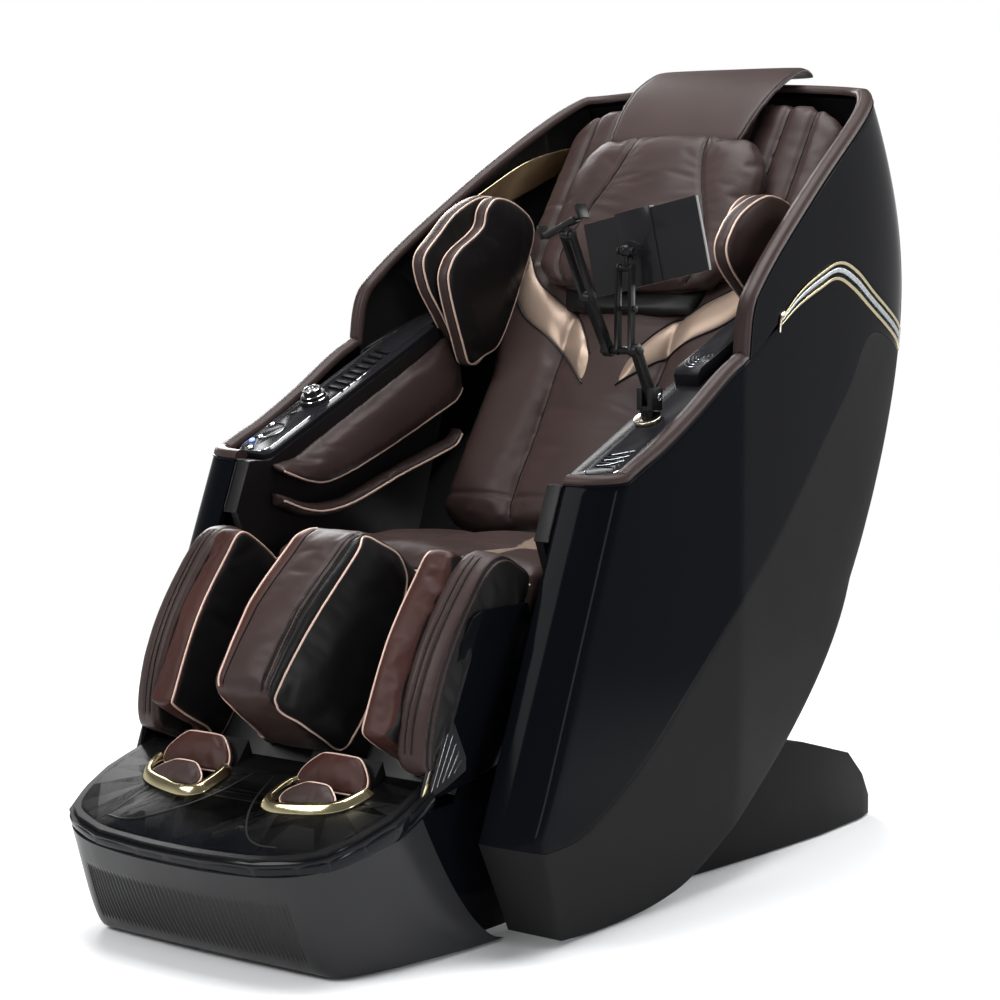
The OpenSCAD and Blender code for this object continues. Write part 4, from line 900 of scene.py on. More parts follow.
def build_liners():
    """Leather liners of the arms, the front column and its cap."""
    bm = round_edges(node_mesh("arm_liners"), 5.0, 30, 4)
    made = piece(bm, "arm_liner_pads", "pod", "dark", "brown_leather", ("arm_liners",), sharp=60)
    # piping down the inner front corner
    line = [Vector((FACE_IN - 4.5, front_y(z) + 0.5, z)) * MM for z in range(ARM_Z - 3, 579, -8)]
    both_sides(lambda: tube(line, 1.5), "column_welt", "pod", "dark", "dark_leather")


# ---------- consoles ----------
def deck_wire(points, up, radius=0.6, steps=None):
    """Fine bar along deck points (across, along), smoothed where steps are given."""
    line = trace(points, steps) if steps else [Vector(p) for p in points]
    return tube([on_deck(p.x, p.y, up) * MM for p in line], radius, sides=6)


DECK_PLATE = [(309, 24), (318, 16), (352, 18), (364, 30), (366.5, 60), (366.5, 320), (360, 418), (349, 496)]
# the border of the button deck runs clear of the buttons
BUTTON_PLATE = [(309, 22), (318, 10), (353, 9.5), (366, 22), (368.2, 60)] + DECK_PLATE[5:]
KNOB_AT = Vector((338, 183))
KEYS_FROM = 222
KEY_PITCH = 19


def build_consoles():
    """Consoles on the arms: gloss decks with fine borders and inlays, scored lines and the charger rest."""
    for (side, label), plate in zip(SIDES, (DECK_PLATE, BUTTON_PLATE)):
        dressed("console" + label, "pod", "smoked", 0.9, "gloss_shell", angle=30)
        piece(mirrored(deck_wire(plate, 0.7, 0.7, 60), side), "deck_border" + label, "pod", "chrome",
              "chrome_trim")
        inlay = prism([(307.2, 24), (308.6, 24), (308.6, 493), (307.2, 493)], -0.8, 0.35, on_deck)
        piece(mirrored(inlay, side), "deck_inlay" + label, "pod", "chrome", "chrome_trim")
    # scored lines of the storage end on the left deck
    for k in range(3):
        line = [(320 + 3 * k, 40 + 17 * k), (338, 46 + 17 * k), (356, 60 + 15 * k)]
        piece(deck_wire(line, 0.6, steps=20), f"deck_score_{k + 1}", "pod", "silver", "chrome_trim")
    dressed("charger_pad", "pod", "smoked", 1.2, "matte_shell", angle=30)
    rest_top = 23.9
    for k, radius in enumerate((7, 12, 17, 22)):
        marks = arc(324, 352, radius, 200, 140, 30, 1.7)
        line = [on_deck(x, a, rest_top - (a - 312) * 0.02) * MM for x, a in marks]
        piece(tube(line, 0.7, sides=6), f"charger_mark_{k + 1}", "pod", "silver", "chrome_trim")


def build_controls():
    """Knob, push buttons and slanted keys on the right deck."""
    keys, edges = [], []
    for k in range(8):
        a = KEYS_FROM + KEY_PITCH * k
        corners = [(313, a), (347, a + 8), (346, a + 14), (312, a + 6)]
        keys.append(round_edges(prism(corners, 0.6, 3.6, on_deck), 0.8, 30, 2))
        edges.append(deck_wire([(313, a + 6.3), (330, a + 10.4), (346, a + 14.2)], 3.7, steps=8))
    piece(mirrored(join(keys), RIGHT), "key_row", "pod", "black", "black_plastic", ("key_bars",))
    piece(mirrored(join(edges), RIGHT), "key_edges", "pod", "chrome", "chrome_trim")
    for k in range(4):
        dressed(f"button_{k + 1}", f"button_{k + 1}", "chrome" if k else "blue", 0.6, "chrome_trim")

    def turned(profile):
        """Solid of revolution on the deck from (radius, height) pairs."""
        bm = bmesh.new()
        verts = [bm.verts.new((r * MM, 0, h * MM)) for r, h in profile]
        edges = [bm.edges.new(pair) for pair in zip(verts, verts[1:])]
        bmesh.ops.spin(bm, geom=verts + edges, cent=(0, 0, 0), axis=(0, 0, 1), angle=2 * pi, steps=56,
                       use_merge=True)
        bmesh.ops.remove_doubles(bm, verts=bm.verts, dist=1e-6)
        bmesh.ops.recalc_face_normals(bm, faces=bm.faces)
        turn = Matrix.Translation(on_deck(*KNOB_AT) * MM) @ Matrix.Rotation(radians(DECK_RISE), 4, "X")
        bmesh.ops.transform(bm, matrix=turn, verts=bm.verts)
        return bm
    skirt = turned([(0, 5.2), (20.3, 5.2), (20.3, 12.4), (19.4, 14.6), (17.6, 15.2), (15.6, 15.2), (15, 16),
                    (15, 21.6), (14.2, 23), (11.4, 23.2), (10.4, 21.8), (0, 21.5)])
    piece(mirrored(skirt, RIGHT), "knob_body", "control_knob", "black", "chrome_trim", ("control_knob",))
    rings = [turned([(r, h - 0.8), (r + 0.9, h), (r, h + 0.8), (r - 0.9, h), (r, h - 0.8)])
             for r, h in ((20.0, 13.6), (14.6, 22.6), (6.5, 21.9), (20.2, 6.2))]
    piece(mirrored(join(rings), RIGHT), "knob_rings", "control_knob", "chrome", "chrome_trim")
    line = deck_wire(arc(352, 78, 25.4, 110, 150, 40), 0.9)
    piece(mirrored(line, RIGHT), "button_arc", "pod", "silver", "chrome_trim")


# ---------- upholstery ----------
CLOTH_STEPS = 18
HOLD_REACH = 4.0


def evaluated(obj):
    """Mesh of an object with its modifiers."""
    graph = bpy.context.evaluated_depsgraph_get()
    return bpy.data.meshes.new_from_object(obj.evaluated_get(graph))


def taken(mesh):
    """bmesh of a mesh, which is removed."""
    bm = bmesh.new()
    bm.from_mesh(mesh)
    bpy.data.meshes.remove(mesh)
    return bm


def line_tree(lines):
    """Search tree over the points of several lines."""
    return point_tree([p for line in lines for p in spaced(line, 2 * MM)])


def relax(bm, rounds):
    """Smooths a mesh."""
    for _ in range(rounds):
        bmesh.ops.smooth_vert(bm, verts=bm.verts, factor=0.5, use_axis_x=True, use_axis_y=True,
                              use_axis_z=True)


def remesh(obj, voxel, smooth):
    """Gives the object's closed form an even mesh."""
    maker = obj.modifiers.new("even", "REMESH")
    maker.mode = "VOXEL"
    maker.voxel_size = voxel * MM
    bm = taken(evaluated(obj))
    obj.modifiers.remove(maker)
    relax(bm, smooth)
    bm.to_mesh(obj.data)
    bm.free()


def inflate(obj, lines, pressure, cap, slack):
    """Blows a sewn skin up with a cloth simulation, held at its seams."""
    mesh = obj.data
    rest = [v.co.copy() for v in mesh.vertices]
    cloth = obj.modifiers.new("cloth", "CLOTH")
    setting = cloth.settings
    if lines:
        tree = line_tree(lines)
        held = [v.index for v in mesh.vertices if tree.find(v.co)[2] < HOLD_REACH * MM]
        obj.vertex_groups.new(name="seams").add(held, 1.0, "REPLACE")
        setting.vertex_group_mass = "seams"
    setting.use_pressure = True
    setting.uniform_pressure_force = pressure
    setting.effector_weights.gravity = 0
    setting.shrink_min = -slack
    setting.quality = 4
    cloth.collision_settings.use_collision = False
    scene = bpy.context.scene
    for step in range(1, CLOTH_STEPS + 1):
        scene.frame_set(step)
    blown = evaluated(obj)
    for vert, start, end in zip(mesh.vertices, rest, blown.vertices):
        move = end.co - start
        vert.co = start + move * min(1.0, cap * MM / max(1e-9, move.length))
    bpy.data.meshes.remove(blown)
    bm = bmesh.new()
    bm.from_mesh(mesh)
    relax(bm, 2)
    bm.to_mesh(mesh)
    bm.free()
    obj.modifiers.remove(cloth)
    obj.vertex_groups.clear()
    scene.frame_set(1)


def press_seams(bm, seams):
    """Draws the skin in along each seam."""
    for seam in seams:
        depth, width = seam.get("depth", sizes().seam_depth), seam.get("width", 6.0)
        tree = line_tree([seam["line"]])
        for vert in bm.verts:
            far = tree.find(vert.co)[2] / MM
            if far < width:
                vert.co -= vert.normal * depth * MM * (1 - far / width) ** 2


def snapped(line, tree):
    """Line moved onto the nearest skin."""
    return [tree.find_nearest(p)[0] for p in line]


def seam(points, closed=False, **more):
    """Sewn line through millimetre points; piping, crease, stitch and depth say how it is finished."""
    line = [p * MM for p in points]
    if closed:
        line.append(line[0].copy())
    return {"line": line, "closed": closed, **more}


def refined(bm, name, seams, voxel, smooth, pressure, cap, slack):
    """Even, blown up and once subdivided mesh of a closed form."""
    form = raw_object(bm, name)
    remesh(form, voxel, smooth)
    even = bmesh.new()
    even.from_mesh(form.data)
    tree = BVHTree.FromBMesh(even)
    even.free()
    for one in seams:
        one["line"] = snapped(spaced(one["line"], 4 * MM), tree)
    if pressure > 0:
        inflate(form, [one["line"] for one in seams if one.get("pin", True)], pressure, cap, slack)
    fine = form.modifiers.new("fine", "SUBSURF")
    fine.levels = fine.render_levels = 1
    bm = taken(evaluated(form))
    bpy.data.objects.remove(form)
    return bm


def thread_line(line, tree, gap):
    """(point, normal) pairs beside a seam, at a gap from it on the skin."""
    on_skin = drop(line, tree, 0.2)
    row = []
    for (a, normal), (b, _) in zip(on_skin, on_skin[1:]):
        across = normal.cross((b - a).normalized())
        spot, spot_normal, _, _ = tree.find_nearest(a + across * gap * MM)
        row.append((spot + spot_normal * 0.3 * MM, spot_normal))
    return row


def padding(bm, name, body, finish, slot, replaces=(), seams=(), voxel=5.0, pressure=4.0, cap=9.0,
            pick=None, smooth=3, side=LEFT, slack=0.012):
    """Stuffed piece: evened, blown up, sewn in, with its piping and stitches."""
    bm = refined(bm, name, seams, voxel, smooth, pressure, cap, slack)
    bm.normal_update()
    tree = BVHTree.FromBMesh(bm)
    for one in seams:
        one["line"] = snapped(one["line"], tree)
    press_seams(bm, seams)
    bm.normal_update()
    tree = BVHTree.FromBMesh(bm)
    obj = piece(mirrored(bm, side), name, body, finish, slot, replaces, sharp=180, pick=pick)
    made = {"piping": [], "crease": [], "stitch": []}
    for one in seams:
        line = spaced(one["line"], 4 * MM)
        for key, radius in (("piping", sizes().piping_r), ("crease", 0.9)):
            if one.get(key):
                on_skin = [p for p, _ in drop(line, tree, 0.6)]
                if one["closed"]:
                    on_skin = on_skin[:-1]
                on_skin = smoothed(on_skin, one["closed"])
                made[key].append(tube(on_skin, one.get("radius", radius), closed=one["closed"], sides=8))
        made["stitch"] += [stitch_row(thread_line(line, tree, gap)) for gap in one.get("stitch", ())]
    for key, label, coat, coat_slot in (("piping", "_piping", "piping", "rose_leather"),
                                        ("crease", "_creases", "dark", "dark_leather"),
                                        ("stitch", "_stitches", "thread", "brown_leather")):
        if made[key]:
            piece(mirrored(join(made[key]), side), name + label, body, coat, coat_slot)
    return obj, tree


def smoothed(line, closed, rounds=2):
    """Line with its small kinks taken out."""
    for _ in range(rounds):
        n = len(line)
        line = [line[i] if not closed and i in (0, n - 1)
                else (line[i - 1] + 2 * line[i] + line[(i + 1) % n]) / 4 for i in range(n)]
    return line


def leaf_rim(outline, steps):
    """Smooth outline of a flat bag and its middle."""
    rim = trace(outline, steps, closed=True)
    return rim, sum(rim, Vector((0, 0))) / len(rim)


def narrowed(q, taper):
    """How far a leaf's outer face comes in at an outline point, mostly on its rear half."""
    return taper * max(0, q.x) if q.y < 55 else 0.1 * taper * max(0, q.x)


def leaf(outline, place, x0, x1, radius, taper=0.0, fall=0.0):
    """Flat bag: an outline of (a, b) points across x0 to x1 with rounded edges."""
    steps, rows = 80, 14
    rim, mid = leaf_rim(outline, steps)
    mean = sum((p - mid).length for p in rim) / len(rim)

    def at(u, v):
        t = (1 - cos(pi * v)) / 2
        edge = max(0, abs(t - 0.5) * abs(x1 - x0) - abs(x1 - x0) / 2 + radius) / radius
        shrink = 1 - radius * (1 - sqrt(max(0, 1 - min(1, edge) ** 2))) / mean
        q = mid + (rim[round(u * steps) % steps] - mid) * shrink
        return place(mix(x0, x1 - narrowed(q, taper), t), q.x, q.y - (fall * t * t if q.y > 0 else 0))
    return close_ends(surface(steps, rows, at))


def rim_at(outline, place, x, shrink=1.0, taper=0.0, fall=0.0):
    """Seam line round a leaf at one x."""
    rim, mid = leaf_rim(outline, 96)
    line = [mid + (p - mid) * shrink for p in rim]
    return [place(x - narrowed(q, taper), q.x, q.y - (fall if q.y > 0 else 0)) for q in line]


# ---------- seat, back and pillow ----------
SEAT_HALF = 262
SEAT_DEPTH = 392
SEAT_OVER = 86  # height over the cushion from which its seams are dropped
SEAT_CHANNEL = 97
seat_place = hinged(-263, 436.4, -3)


def on_seat(x, y, up):
    """Point over the seat's own plane."""
    return seat_place(x, y, up + 19)


def build_seat():
    """Seat cushion with channels, apron piping and the rose inset."""
    channels = [seam([on_seat(side * SEAT_CHANNEL, y, SEAT_OVER) for y in range(4, SEAT_DEPTH, 8)], depth=5,
                     width=11, crease=True) for side in (LEFT, RIGHT)]
    middle = seam([on_seat(x, 150 + 0.0006 * x * x, SEAT_OVER) for x in widthwise(SEAT_HALF, 8)],
                  depth=4, width=9, crease=True, stitch=(3.0,))
    front = seam([on_seat(x, 3, 52) for x in widthwise(SEAT_HALF, 8)], piping=True, depth=2)

    def pick(face):
        """Rose for the inset, which widens towards the rear on the left side."""
        at = face.calc_center_median() / MM
        back = at.y + 240
        inner = 141 - 0.32 * back
        inset = inner < at.x < inner + 30 + 0.16 * back
        return int(0 < back < 300 and inset and face.normal.z > 0.3)
    padding(node_mesh("seat_cushion"), "seat_pad", "pod", ("brown", "rose"), "brown_leather",
            ("seat_cushion",), [front] + channels + [middle], voxel=7.5, cap=9, pick=pick)


BAND_HIGH = [(40, 330), (92, 400), (150, 436), (210, 478), (262, 548)]
BAND_LOW = [(34, 272), (84, 318), (140, 360), (206, 400), (262, 462)]


def build_back():
    """Back rest with its channels, the two rose bands and the lower folds."""
    channels = [seam([on_back(side * (99 + 0.02 * s), s, 4) for s in range(16, 860, 10)], depth=6, width=13,
                     crease=True) for side in (LEFT, RIGHT)]
    cross = [seam([on_back(x, s, 4) for x in widthwise(260, 10)], depth=3, width=10, pin=False)
             for s in (58, 640)]
    rolls = [seam([on_back(side * x, s, 4) for s in range(520, 862, 10)], depth=7, width=15, crease=True)
             for side in (LEFT, RIGHT) for x in (172, 226)]
    _, tree = padding(node_mesh("back_cushion"), "back_pad", "pod", "brown", "brown_leather",
                      ("back_cushion",), channels + cross + rolls, voxel=9.5, cap=10)
    out = (on_back(0, 0, 1) - on_back(0, 0, 0)).normalized()

    def on_pad(side, p):
        """Point of the pad's front under a back-rest point."""
        spot, _, _, _ = tree.ray_cast(on_back(side * p.x, p.y, 120) * MM, -out)
        return spot or on_back(side * p.x, p.y, 4) * MM

    def band(side):
        """Slanting band that follows the pad, puffed up between its edges."""
        def place(u, v):
            p = spline(BAND_LOW, u).lerp(spline(BAND_HIGH, u), v)
            puff = 9 * sin(pi * v) ** 0.6 * min(1, (u + 0.02) / 0.12, (1.02 - u) / 0.12) - 1.5
            return on_pad(side, p) / MM + out * puff
        return surface(60, 26, place)
    for side, label in SIDES:
        bm = thicken(face_towards(band(side), out), 2.5)
        made = piece(bm, "back_band" + label, "pod", "rose", "rose_leather",
                     ("back_inserts",) if side == LEFT else (), sharp=75)
        welts = []
        for row in (BAND_HIGH, BAND_LOW):
            line = [on_pad(side, p) + out * 1.6 * MM for p in trace(row, 60)]
            welts.append(tube(smoothed(line, False), 1.5, sides=8))
        piece(join(welts), "back_band_welts" + label, "pod", "dark", "dark_leather")


PILLOW_SEAM = [(70, 752), (78, 700), (96, 640), (128, 560), (140, 500), (126, 446)]
FLAP_T = 13
FLAP = [(728, 52), (756, 50), (806, 41), (862, 22), (910, -6), (942, -34), (950, -64)]


def build_pillow():
    """Head pillow with its panel seams and lower strip, and the flap that holds it."""
    panels = [seam([on_back(side * p.x, p.y, 57) for p in trace(PILLOW_SEAM, 50)], depth=5, width=11,
                   crease=True, stitch=(3.4,)) for side in (LEFT, RIGHT)]
    lower = seam([on_back(x, 449 + 0.0012 * x * x, 34) for x in widthwise(136, 8)], depth=3, width=7,
                 crease=True)
    edge = [seam([on_back(side * (196 - 0.0009 * (s - 590) ** 2), s, 30) for s in range(470, 740, 8)],
                 depth=3, width=8, crease=True) for side in (LEFT, RIGHT)]
    padding(node_mesh("head_pillow"), "pillow_pad", "pod", "brown", "brown_leather", ("head_pillow",),
            panels + [lower] + edge, voxel=5.5, cap=14, pressure=4, slack=0.01)

    def strip(u, v):
        """Dark strip below the pillow, full at the top and thin at its lower edge."""
        turn = 2 * pi * v
        x = (2 * u - 1) * mix(128, 150, (1 - cos(turn)) / 2)
        s = 430 - 32 * cos(turn)
        return on_back(x, s + 0.0008 * x ** 2, 14 + 10 * sin(turn) - 8 * abs(2 * u - 1) ** 3)
    padding(close_ends(surface(60, 28, strip)), "pillow_strip", "pod", "dark", "dark_leather", voxel=5, cap=6)

    def flap(u, v):
        """Flat closed band along the flap's path, thick in the middle and thin at its sides."""
        wide, deep = cos(2 * pi * v), sin(2 * pi * v)
        x = copysign(abs(wide) ** 0.5, wide) * flap_half(u)
        return flap_point(x, mix(0.004, 0.996, u), FLAP_T / 2 * copysign(abs(deep) ** 0.35, deep))
    sides = [seam([flap_point(side * flap_half(t / 40) * 0.955, t / 40, 7) for t in range(1, 40)],
                  depth=1.8, width=6, crease=True, stitch=(3.2,)) for side in (LEFT, RIGHT)]
    foot = seam([flap_point(x, 0.03, 7) for x in widthwise(128, 8)], depth=1.8, width=6, crease=True)
    padding(close_ends(surface(80, 64, flap)), "flap_pad", "pod", "brown", "brown_leather", ("pillow_flap",),
            sides + [foot], voxel=4.2, pressure=0, smooth=3)


def flap_half(t):
    """Half width of the flap at share t of its path."""
    return mix(134, 152, min(1, 2 * t))


def flap_point(x, t, up):
    """Point over the flap's path, at share t of it."""
    p = spline(FLAP, t)
    ahead = spline(FLAP, min(1, t + 0.02)) - spline(FLAP, max(0, t - 0.02))
    out = Vector((-ahead.y, ahead.x)).normalized() * up
    return on_back(x, p.x + out.x, p.y + out.y)


OUTER_BAG = [(300, 9), (475, 9), (561, 10), (589, 66), (564, 147), (500, 200), (434, 224), (381, 238),
             (352, 215), (328, 160)]
INNER_BAG = [(354, 11), (500, 20), (569, 40), (575, 100), (552, 160), (516, 174), (492, 166), (464, 176),
             (418, 201), (384, 207), (350, 192), (284, 99), (268, 66), (301, 40)]
# the near pair is drawn up further
OUTER_SHORT = [(398, 9), (475, 9), (561, 10), (589, 66), (564, 147), (500, 200), (450, 214), (420, 210),
               (402, 180), (396, 110)]
INNER_SHORT = [(430, 9), (545, 9), (590, 70), (578, 125), (543, 153), (508, 159), (485, 165), (462, 160),
               (445, 140), (434, 90)]


def build_shoulder_bags():
    """Two wavy airbags on each side of the shoulders, piped round both edges."""
    for label, far, near, x0, x1 in (("outer", OUTER_BAG, OUTER_SHORT, 271, 301),
                                     ("inner", INNER_BAG, INNER_SHORT, 235, 265)):
        for (side, which), outline, inside in zip(SIDES, (near, far), ("brown", "dark")):
            rims = [seam(rim_at(outline, on_back, x, 0.985), closed=True, piping=True, depth=1.2)
                    for x in (x0 + 3, x1 - 3)]
            node = ("shoulder_airbags",) if label == "outer" and side == LEFT else ()
            padding(leaf(outline, on_back, x0, x1, 7), f"shoulder_bag_{label}{which}", "pod",
                    (inside, "brown"), "dark_leather", node, rims, voxel=4.5, cap=7, pressure=5,
                    side=side,
                    pick=lambda face: 0 if abs(face.normal.x) > 0.55 else 1)


# arm airbags: (depth, lower edge of the upper leaf, lower edge of the lower leaf)
ARM_EDGES = [(-212, 634, 588), (-160, 616, 570), (-108, 609, 563), (-35, 625, 572), (79, 663, 605),
             (170, 697, 628), (234, 722, 646), (254, 742, 664)]
CABIN = 290
ARM_REACH = 30


def deck_height(y):
    """Height of the consoles' deck at a depth."""
    return DECK_Z + (y - DECK_Y) * tan(radians(DECK_RISE))


def arm_leaf(upper):
    """Hanging leaf of the arm airbag, closed round its liner edge."""
    root, tip = CABIN - 0.3, CABIN - ARM_REACH

    def ring(y, high, low):
        """Section of the leaf from its root round its tip."""
        if upper:
            z = high
            top = min(deck_height(y) - 16, max(z + 12, deck_height(y) - 26), 1062 - 0.97 * y)
            return [(root, y, z + 5), (tip + 8, y, z + 1), (tip, y, z), (tip - 1, y, mix(z, top, 0.12)),
                    (tip + 4, y, mix(z, top, 0.45)), (tip + 16, y, mix(z, top, 0.8)), (root, y, top)]
        z = low
        return [(root, y, z - 8), (tip + 8, y, z - 5), (tip, y, z), (tip + 3, y, z + 8),
                (tip + 14, y, z + 12), (root, y, z + 12), (root, y, z + 2)]
    rings = [ring(*edge) for edge in ARM_EDGES]

    def place(u, v):
        across = [spline([r[k] for r in rings], u) for k in range(7)]
        return spline(across, v, closed=True)
    return close_ends(surface(70, 42, place)), trace([r[2] for r in rings], 70)


def build_arm_bags():
    """Two hanging leaves on each arm, piped along the lower edge."""
    for label, upper, voxel, cap in (("upper", True, 5.0, 5), ("lower", False, 4.0, 3)):
        for side, which in SIDES:
            bm, edge = arm_leaf(upper)
            node = ("arm_airbags",) if upper and side == LEFT else ()
            padding(bm, f"arm_bag_{label}{which}", "pod", "brown", "brown_leather", node,
                    [seam(edge, piping=True, depth=0.5, stitch=(5.0,))], voxel=voxel, cap=cap, pressure=3,
                    smooth=2, side=side)


# ---------- leg rest ----------
LEG_TAPER = 0.082
BOLSTER = [(-6, -6), (66, -26), (300, -26), (318, -6), (326, 30), (330, 62), (310, 82), (272, 100),
           (228, 112), (168, 119), (100, 116), (30, 104), (-4, 78), (-12, 36)]
INNER_LEAF = [(40, -24), (290, -24), (305, 20), (307, 100), (290, 110), (168, 126), (60, 118), (14, 108),
              (8, 60), (16, 0)]
# middle block: (distance down the leg, half width at the root, half width of the face, height)
CENTRE = [(-8, 56, 46, 92), (0, 70, 56, 112), (22, 80, 63, 130), (60, 86, 64, 141), (110, 103, 63, 158),
          (154, 105, 62, 170), (220, 105, 58, 177), (280, 104, 54, 180), (296, 103, 50, 170),
          (302, 96, 44, 120)]


def centre_ring(along):
    """(root, face, top) of the middle block at a distance down the leg."""
    k = max(i for i in range(len(CENTRE) - 1) if CENTRE[i][0] <= along)
    t = (along - CENTRE[k][0]) / (CENTRE[k + 1][0] - CENTRE[k][0])
    return [mix(a, b, t) for a, b in zip(CENTRE[k][1:], CENTRE[k + 1][1:])]


def centre_block():
    """Middle block between the calves, a closed form."""
    first, last = CENTRE[0][0], CENTRE[-1][0]

    def place(u, v):
        where = mix(first, last, v)
        root, face, top = centre_ring(min(last - 0.1, where))
        ring = [(-root, -26), (-face - 22, top * 0.4), (-face - 12, top * 0.72), (-face, top - 5),
                (-face + 14, top), (face - 14, top), (face, top - 5), (face + 12, top * 0.72),
                (face + 22, top * 0.4), (root, -26)]
        n = len(ring)
        k = min(n - 1, int(u * n))
        q = Vector(ring[k]).lerp(Vector(ring[(k + 1) % n]), u * n - k)
        return on_leg(q.x, where, q.y)
    return close_ends(surface(90, 60, place))


def build_leg_rest():
    """Calf bolsters, their inner leaves and the middle block, piped and stitched."""
    def block_tone(face):
        """Maroon gusset, brown front, black strip and sides of the middle block."""
        x = face.calc_center_median().x / MM
        return 1 if x > 51 or abs(face.normal.x) > 0.6 else 2 if x < -34 else 0

    rim_in = seam(rim_at(BOLSTER, on_leg, 233, 0.99), closed=True, depth=1.5)
    rim_out = seam(rim_at(BOLSTER, on_leg, 283, 0.985, taper=LEG_TAPER, fall=11), closed=True, depth=2.5,
                   crease=True)
    ridge = [(10, 96), (100, 110), (161, 113), (195, 110), (238, 103), (278, 92), (312, 74)]
    double = [seam([on_leg(x - 0.02 * p.x, p.x, p.y + 3) for p in trace(ridge, 40)], depth=2.6, width=6,
                   crease=True, stitch=(3.2,) if x < 255 else ()) for x in (252, 263)]
    for side, label in SIDES:
        padding(leaf(BOLSTER, on_leg, 230, 287, 9, taper=LEG_TAPER, fall=12), "calf_bolster" + label + "_pad",
                "leg_rest", ("brown", "dark"), "brown_leather", ("calf_bolster" + label,),
                [rim_out, rim_in] + double, voxel=5, cap=7, pressure=4, side=side,
                pick=lambda face: int(abs(face.normal.x) > 0.84))
        edge = seam(rim_at(INNER_LEAF, on_leg, 182, 0.985), closed=True, piping=True, depth=1.0)
        padding(leaf(INNER_LEAF, on_leg, 178, 229, 12), "calf_leaf" + label, "leg_rest", ("maroon", "dark"),
                "dark_leather", (), [edge], voxel=5, cap=8, pressure=4, side=side,
                pick=lambda face: int(abs(face.normal.x) > 0.78))
    front = [seam([on_leg(s * (centre_ring(v)[1] - 9), v, centre_ring(v)[2] + 1) for v in range(-4, 296, 6)],
                  depth=1.5, piping=s == RIGHT) for s in (LEFT, RIGHT)]
    rows = [seam([on_leg(x, v, centre_ring(v)[2] + 1) for v in range(4, 292, 6)], depth=3, width=7,
                 crease=True, stitch=(3.4,) if x == 42 else ()) for x in (-34, 42, 51)]
    flank = [(4, 112), (40, 122), (100, 138), (160, 152), (230, 160), (284, 160), (297, 146), (300, 110),
             (296, 40), (280, 8), (150, 4), (40, 10), (6, 40), (0, 80)]

    def flank_line(s):
        """Seam round one flank of the middle block."""
        line = []
        for p in trace(flank, 96, closed=True):
            _, face, top = centre_ring(min(301, max(-7, p.x)))
            width = face + 12 - 12 * max(0, (p.y / top - 0.72) / 0.28) + 6 * (1 - p.y / top)
            line.append(on_leg(s * width, p.x, p.y))
        return line
    flanks = [seam(flank_line(s), closed=True, piping=True, depth=1.5) for s in (LEFT, RIGHT)]
    padding(centre_block(), "calf_centre_pad", "leg_rest", ("brown", "dark", "maroon"), "brown_leather",
            ("calf_centre",), flanks + front + rows, voxel=5.5, cap=8, pressure=4, pick=block_tone)


COVER = [(-310, 6), (-420, 7), (-438, -1), (-457, -33), (-472, -63), (-486, -103), (-494, -128), (-519, -212),
         (-530, -231), (-523, -229), (-498, -221), (-497, -250), (-482, -251), (-420, -242), (-356, -228),
         (-338, -190), (-314, -112), (-292, -42)]
INSERT = [(-498, -118), (-484, -116), (-468, -146), (-434, -202), (-432, -222), (-478, -241), (-522, -251),
          (-535, -250)]
# first and last stripe of the insert: (top, foot)
STRIPE_FIRST = (Vector((-493, -127)), Vector((-530, -247)))
STRIPE_LAST = (Vector((-445, -205)), Vector((-462, -221)))
BAR_W = 12.5
COVER_LEAN = 5.4


def on_cover(y, z, out):
    """Frame of the leg side cover: side view (y, z) and distance out from its inner face."""
    a = radians(COVER_LEAN)
    return Vector((288 + out * cos(a) + z * sin(a), y, 483 - out * sin(a) + z * cos(a)))


def build_side_covers():
    """Gloss side covers of the leg rest with the striped insert."""
    def plate(outline, low, high, radius):
        """Flat part on the cover, between two distances out."""
        return round_edges(prism(outline, low, high, on_cover), radius, 20, 3)
    tip = [(-524, -226), (-534, -251), (-515, -250), (-511, -226)]
    for side, label in SIDES:
        stripes = []
        for k in range(6):
            t = 0.125 + 0.175 * k if k else 0
            top, low = (a.lerp(b, t) for a, b in zip(STRIPE_FIRST, STRIPE_LAST))
            wide = 3.2 - 0.2 * k if k else BAR_W
            outline = [tuple(top), tuple(low), (low.x + wide, low.y), (top.x + wide, top.y - wide * 0.4)]
            stripes.append(plate(outline, 6.2, 7.4, 0.4))
        parts = (("leg_cover", plate(COVER, 0, 5, 1.8), "gloss", "gloss_shell"),
                 ("cover_insert", plate(INSERT, 4.8, 6.4, 0.6), "satin", "matte_shell"),
                 ("cover_bar", stripes[0], "champagne", "gold_trim"),
                 ("cover_stripes", join(stripes[1:]), "chrome", "chrome_trim"),
                 ("cover_tip", plate(tip, 6.0, 8.0, 0.7), "gold", "gold_trim"))
        for name, bm, finish, slot in parts:
            node = ("leg_side_covers",) if name == "leg_cover" and side == LEFT else ()
            piece(mirrored(bm, side), name + label, "leg_rest", finish, slot, node)


# ---------- foot housing ----------
TRAY_END = 263
LIP_T = 22
WELL = 187
WELL_REAR = 60
FOOT_X = 125
RING_X = FOOT_X + 4
RING_R = 64
RING_W = 13
TRAY = [(0, 0), (60, 1), (151, 9), (215, 31), (248, 56), (270, 108), (281, 165), (279, 200), (275, 236),
        (272, TRAY_END)]
RING = [(-0.9, 0.34), (-1, 0.12), (-1, -0.32), (-0.9, -0.64), (-0.52, -0.79), (0.13, -0.69), (0.6, -0.53),
        (0.88, -0.29), (1.02, 0.12), (1.04, 0.34)]


def tray_outline(inset, steps=48):
    """Closed outline of the tray, moved in by inset."""
    half = [Vector((max(0, q.x - inset), q.y + inset * (1 - q.y / TRAY_END))) for q in trace(TRAY, steps)]
    return [tuple(p) for p in half] + [(-p.x, p.y) for p in reversed(half[1:])]


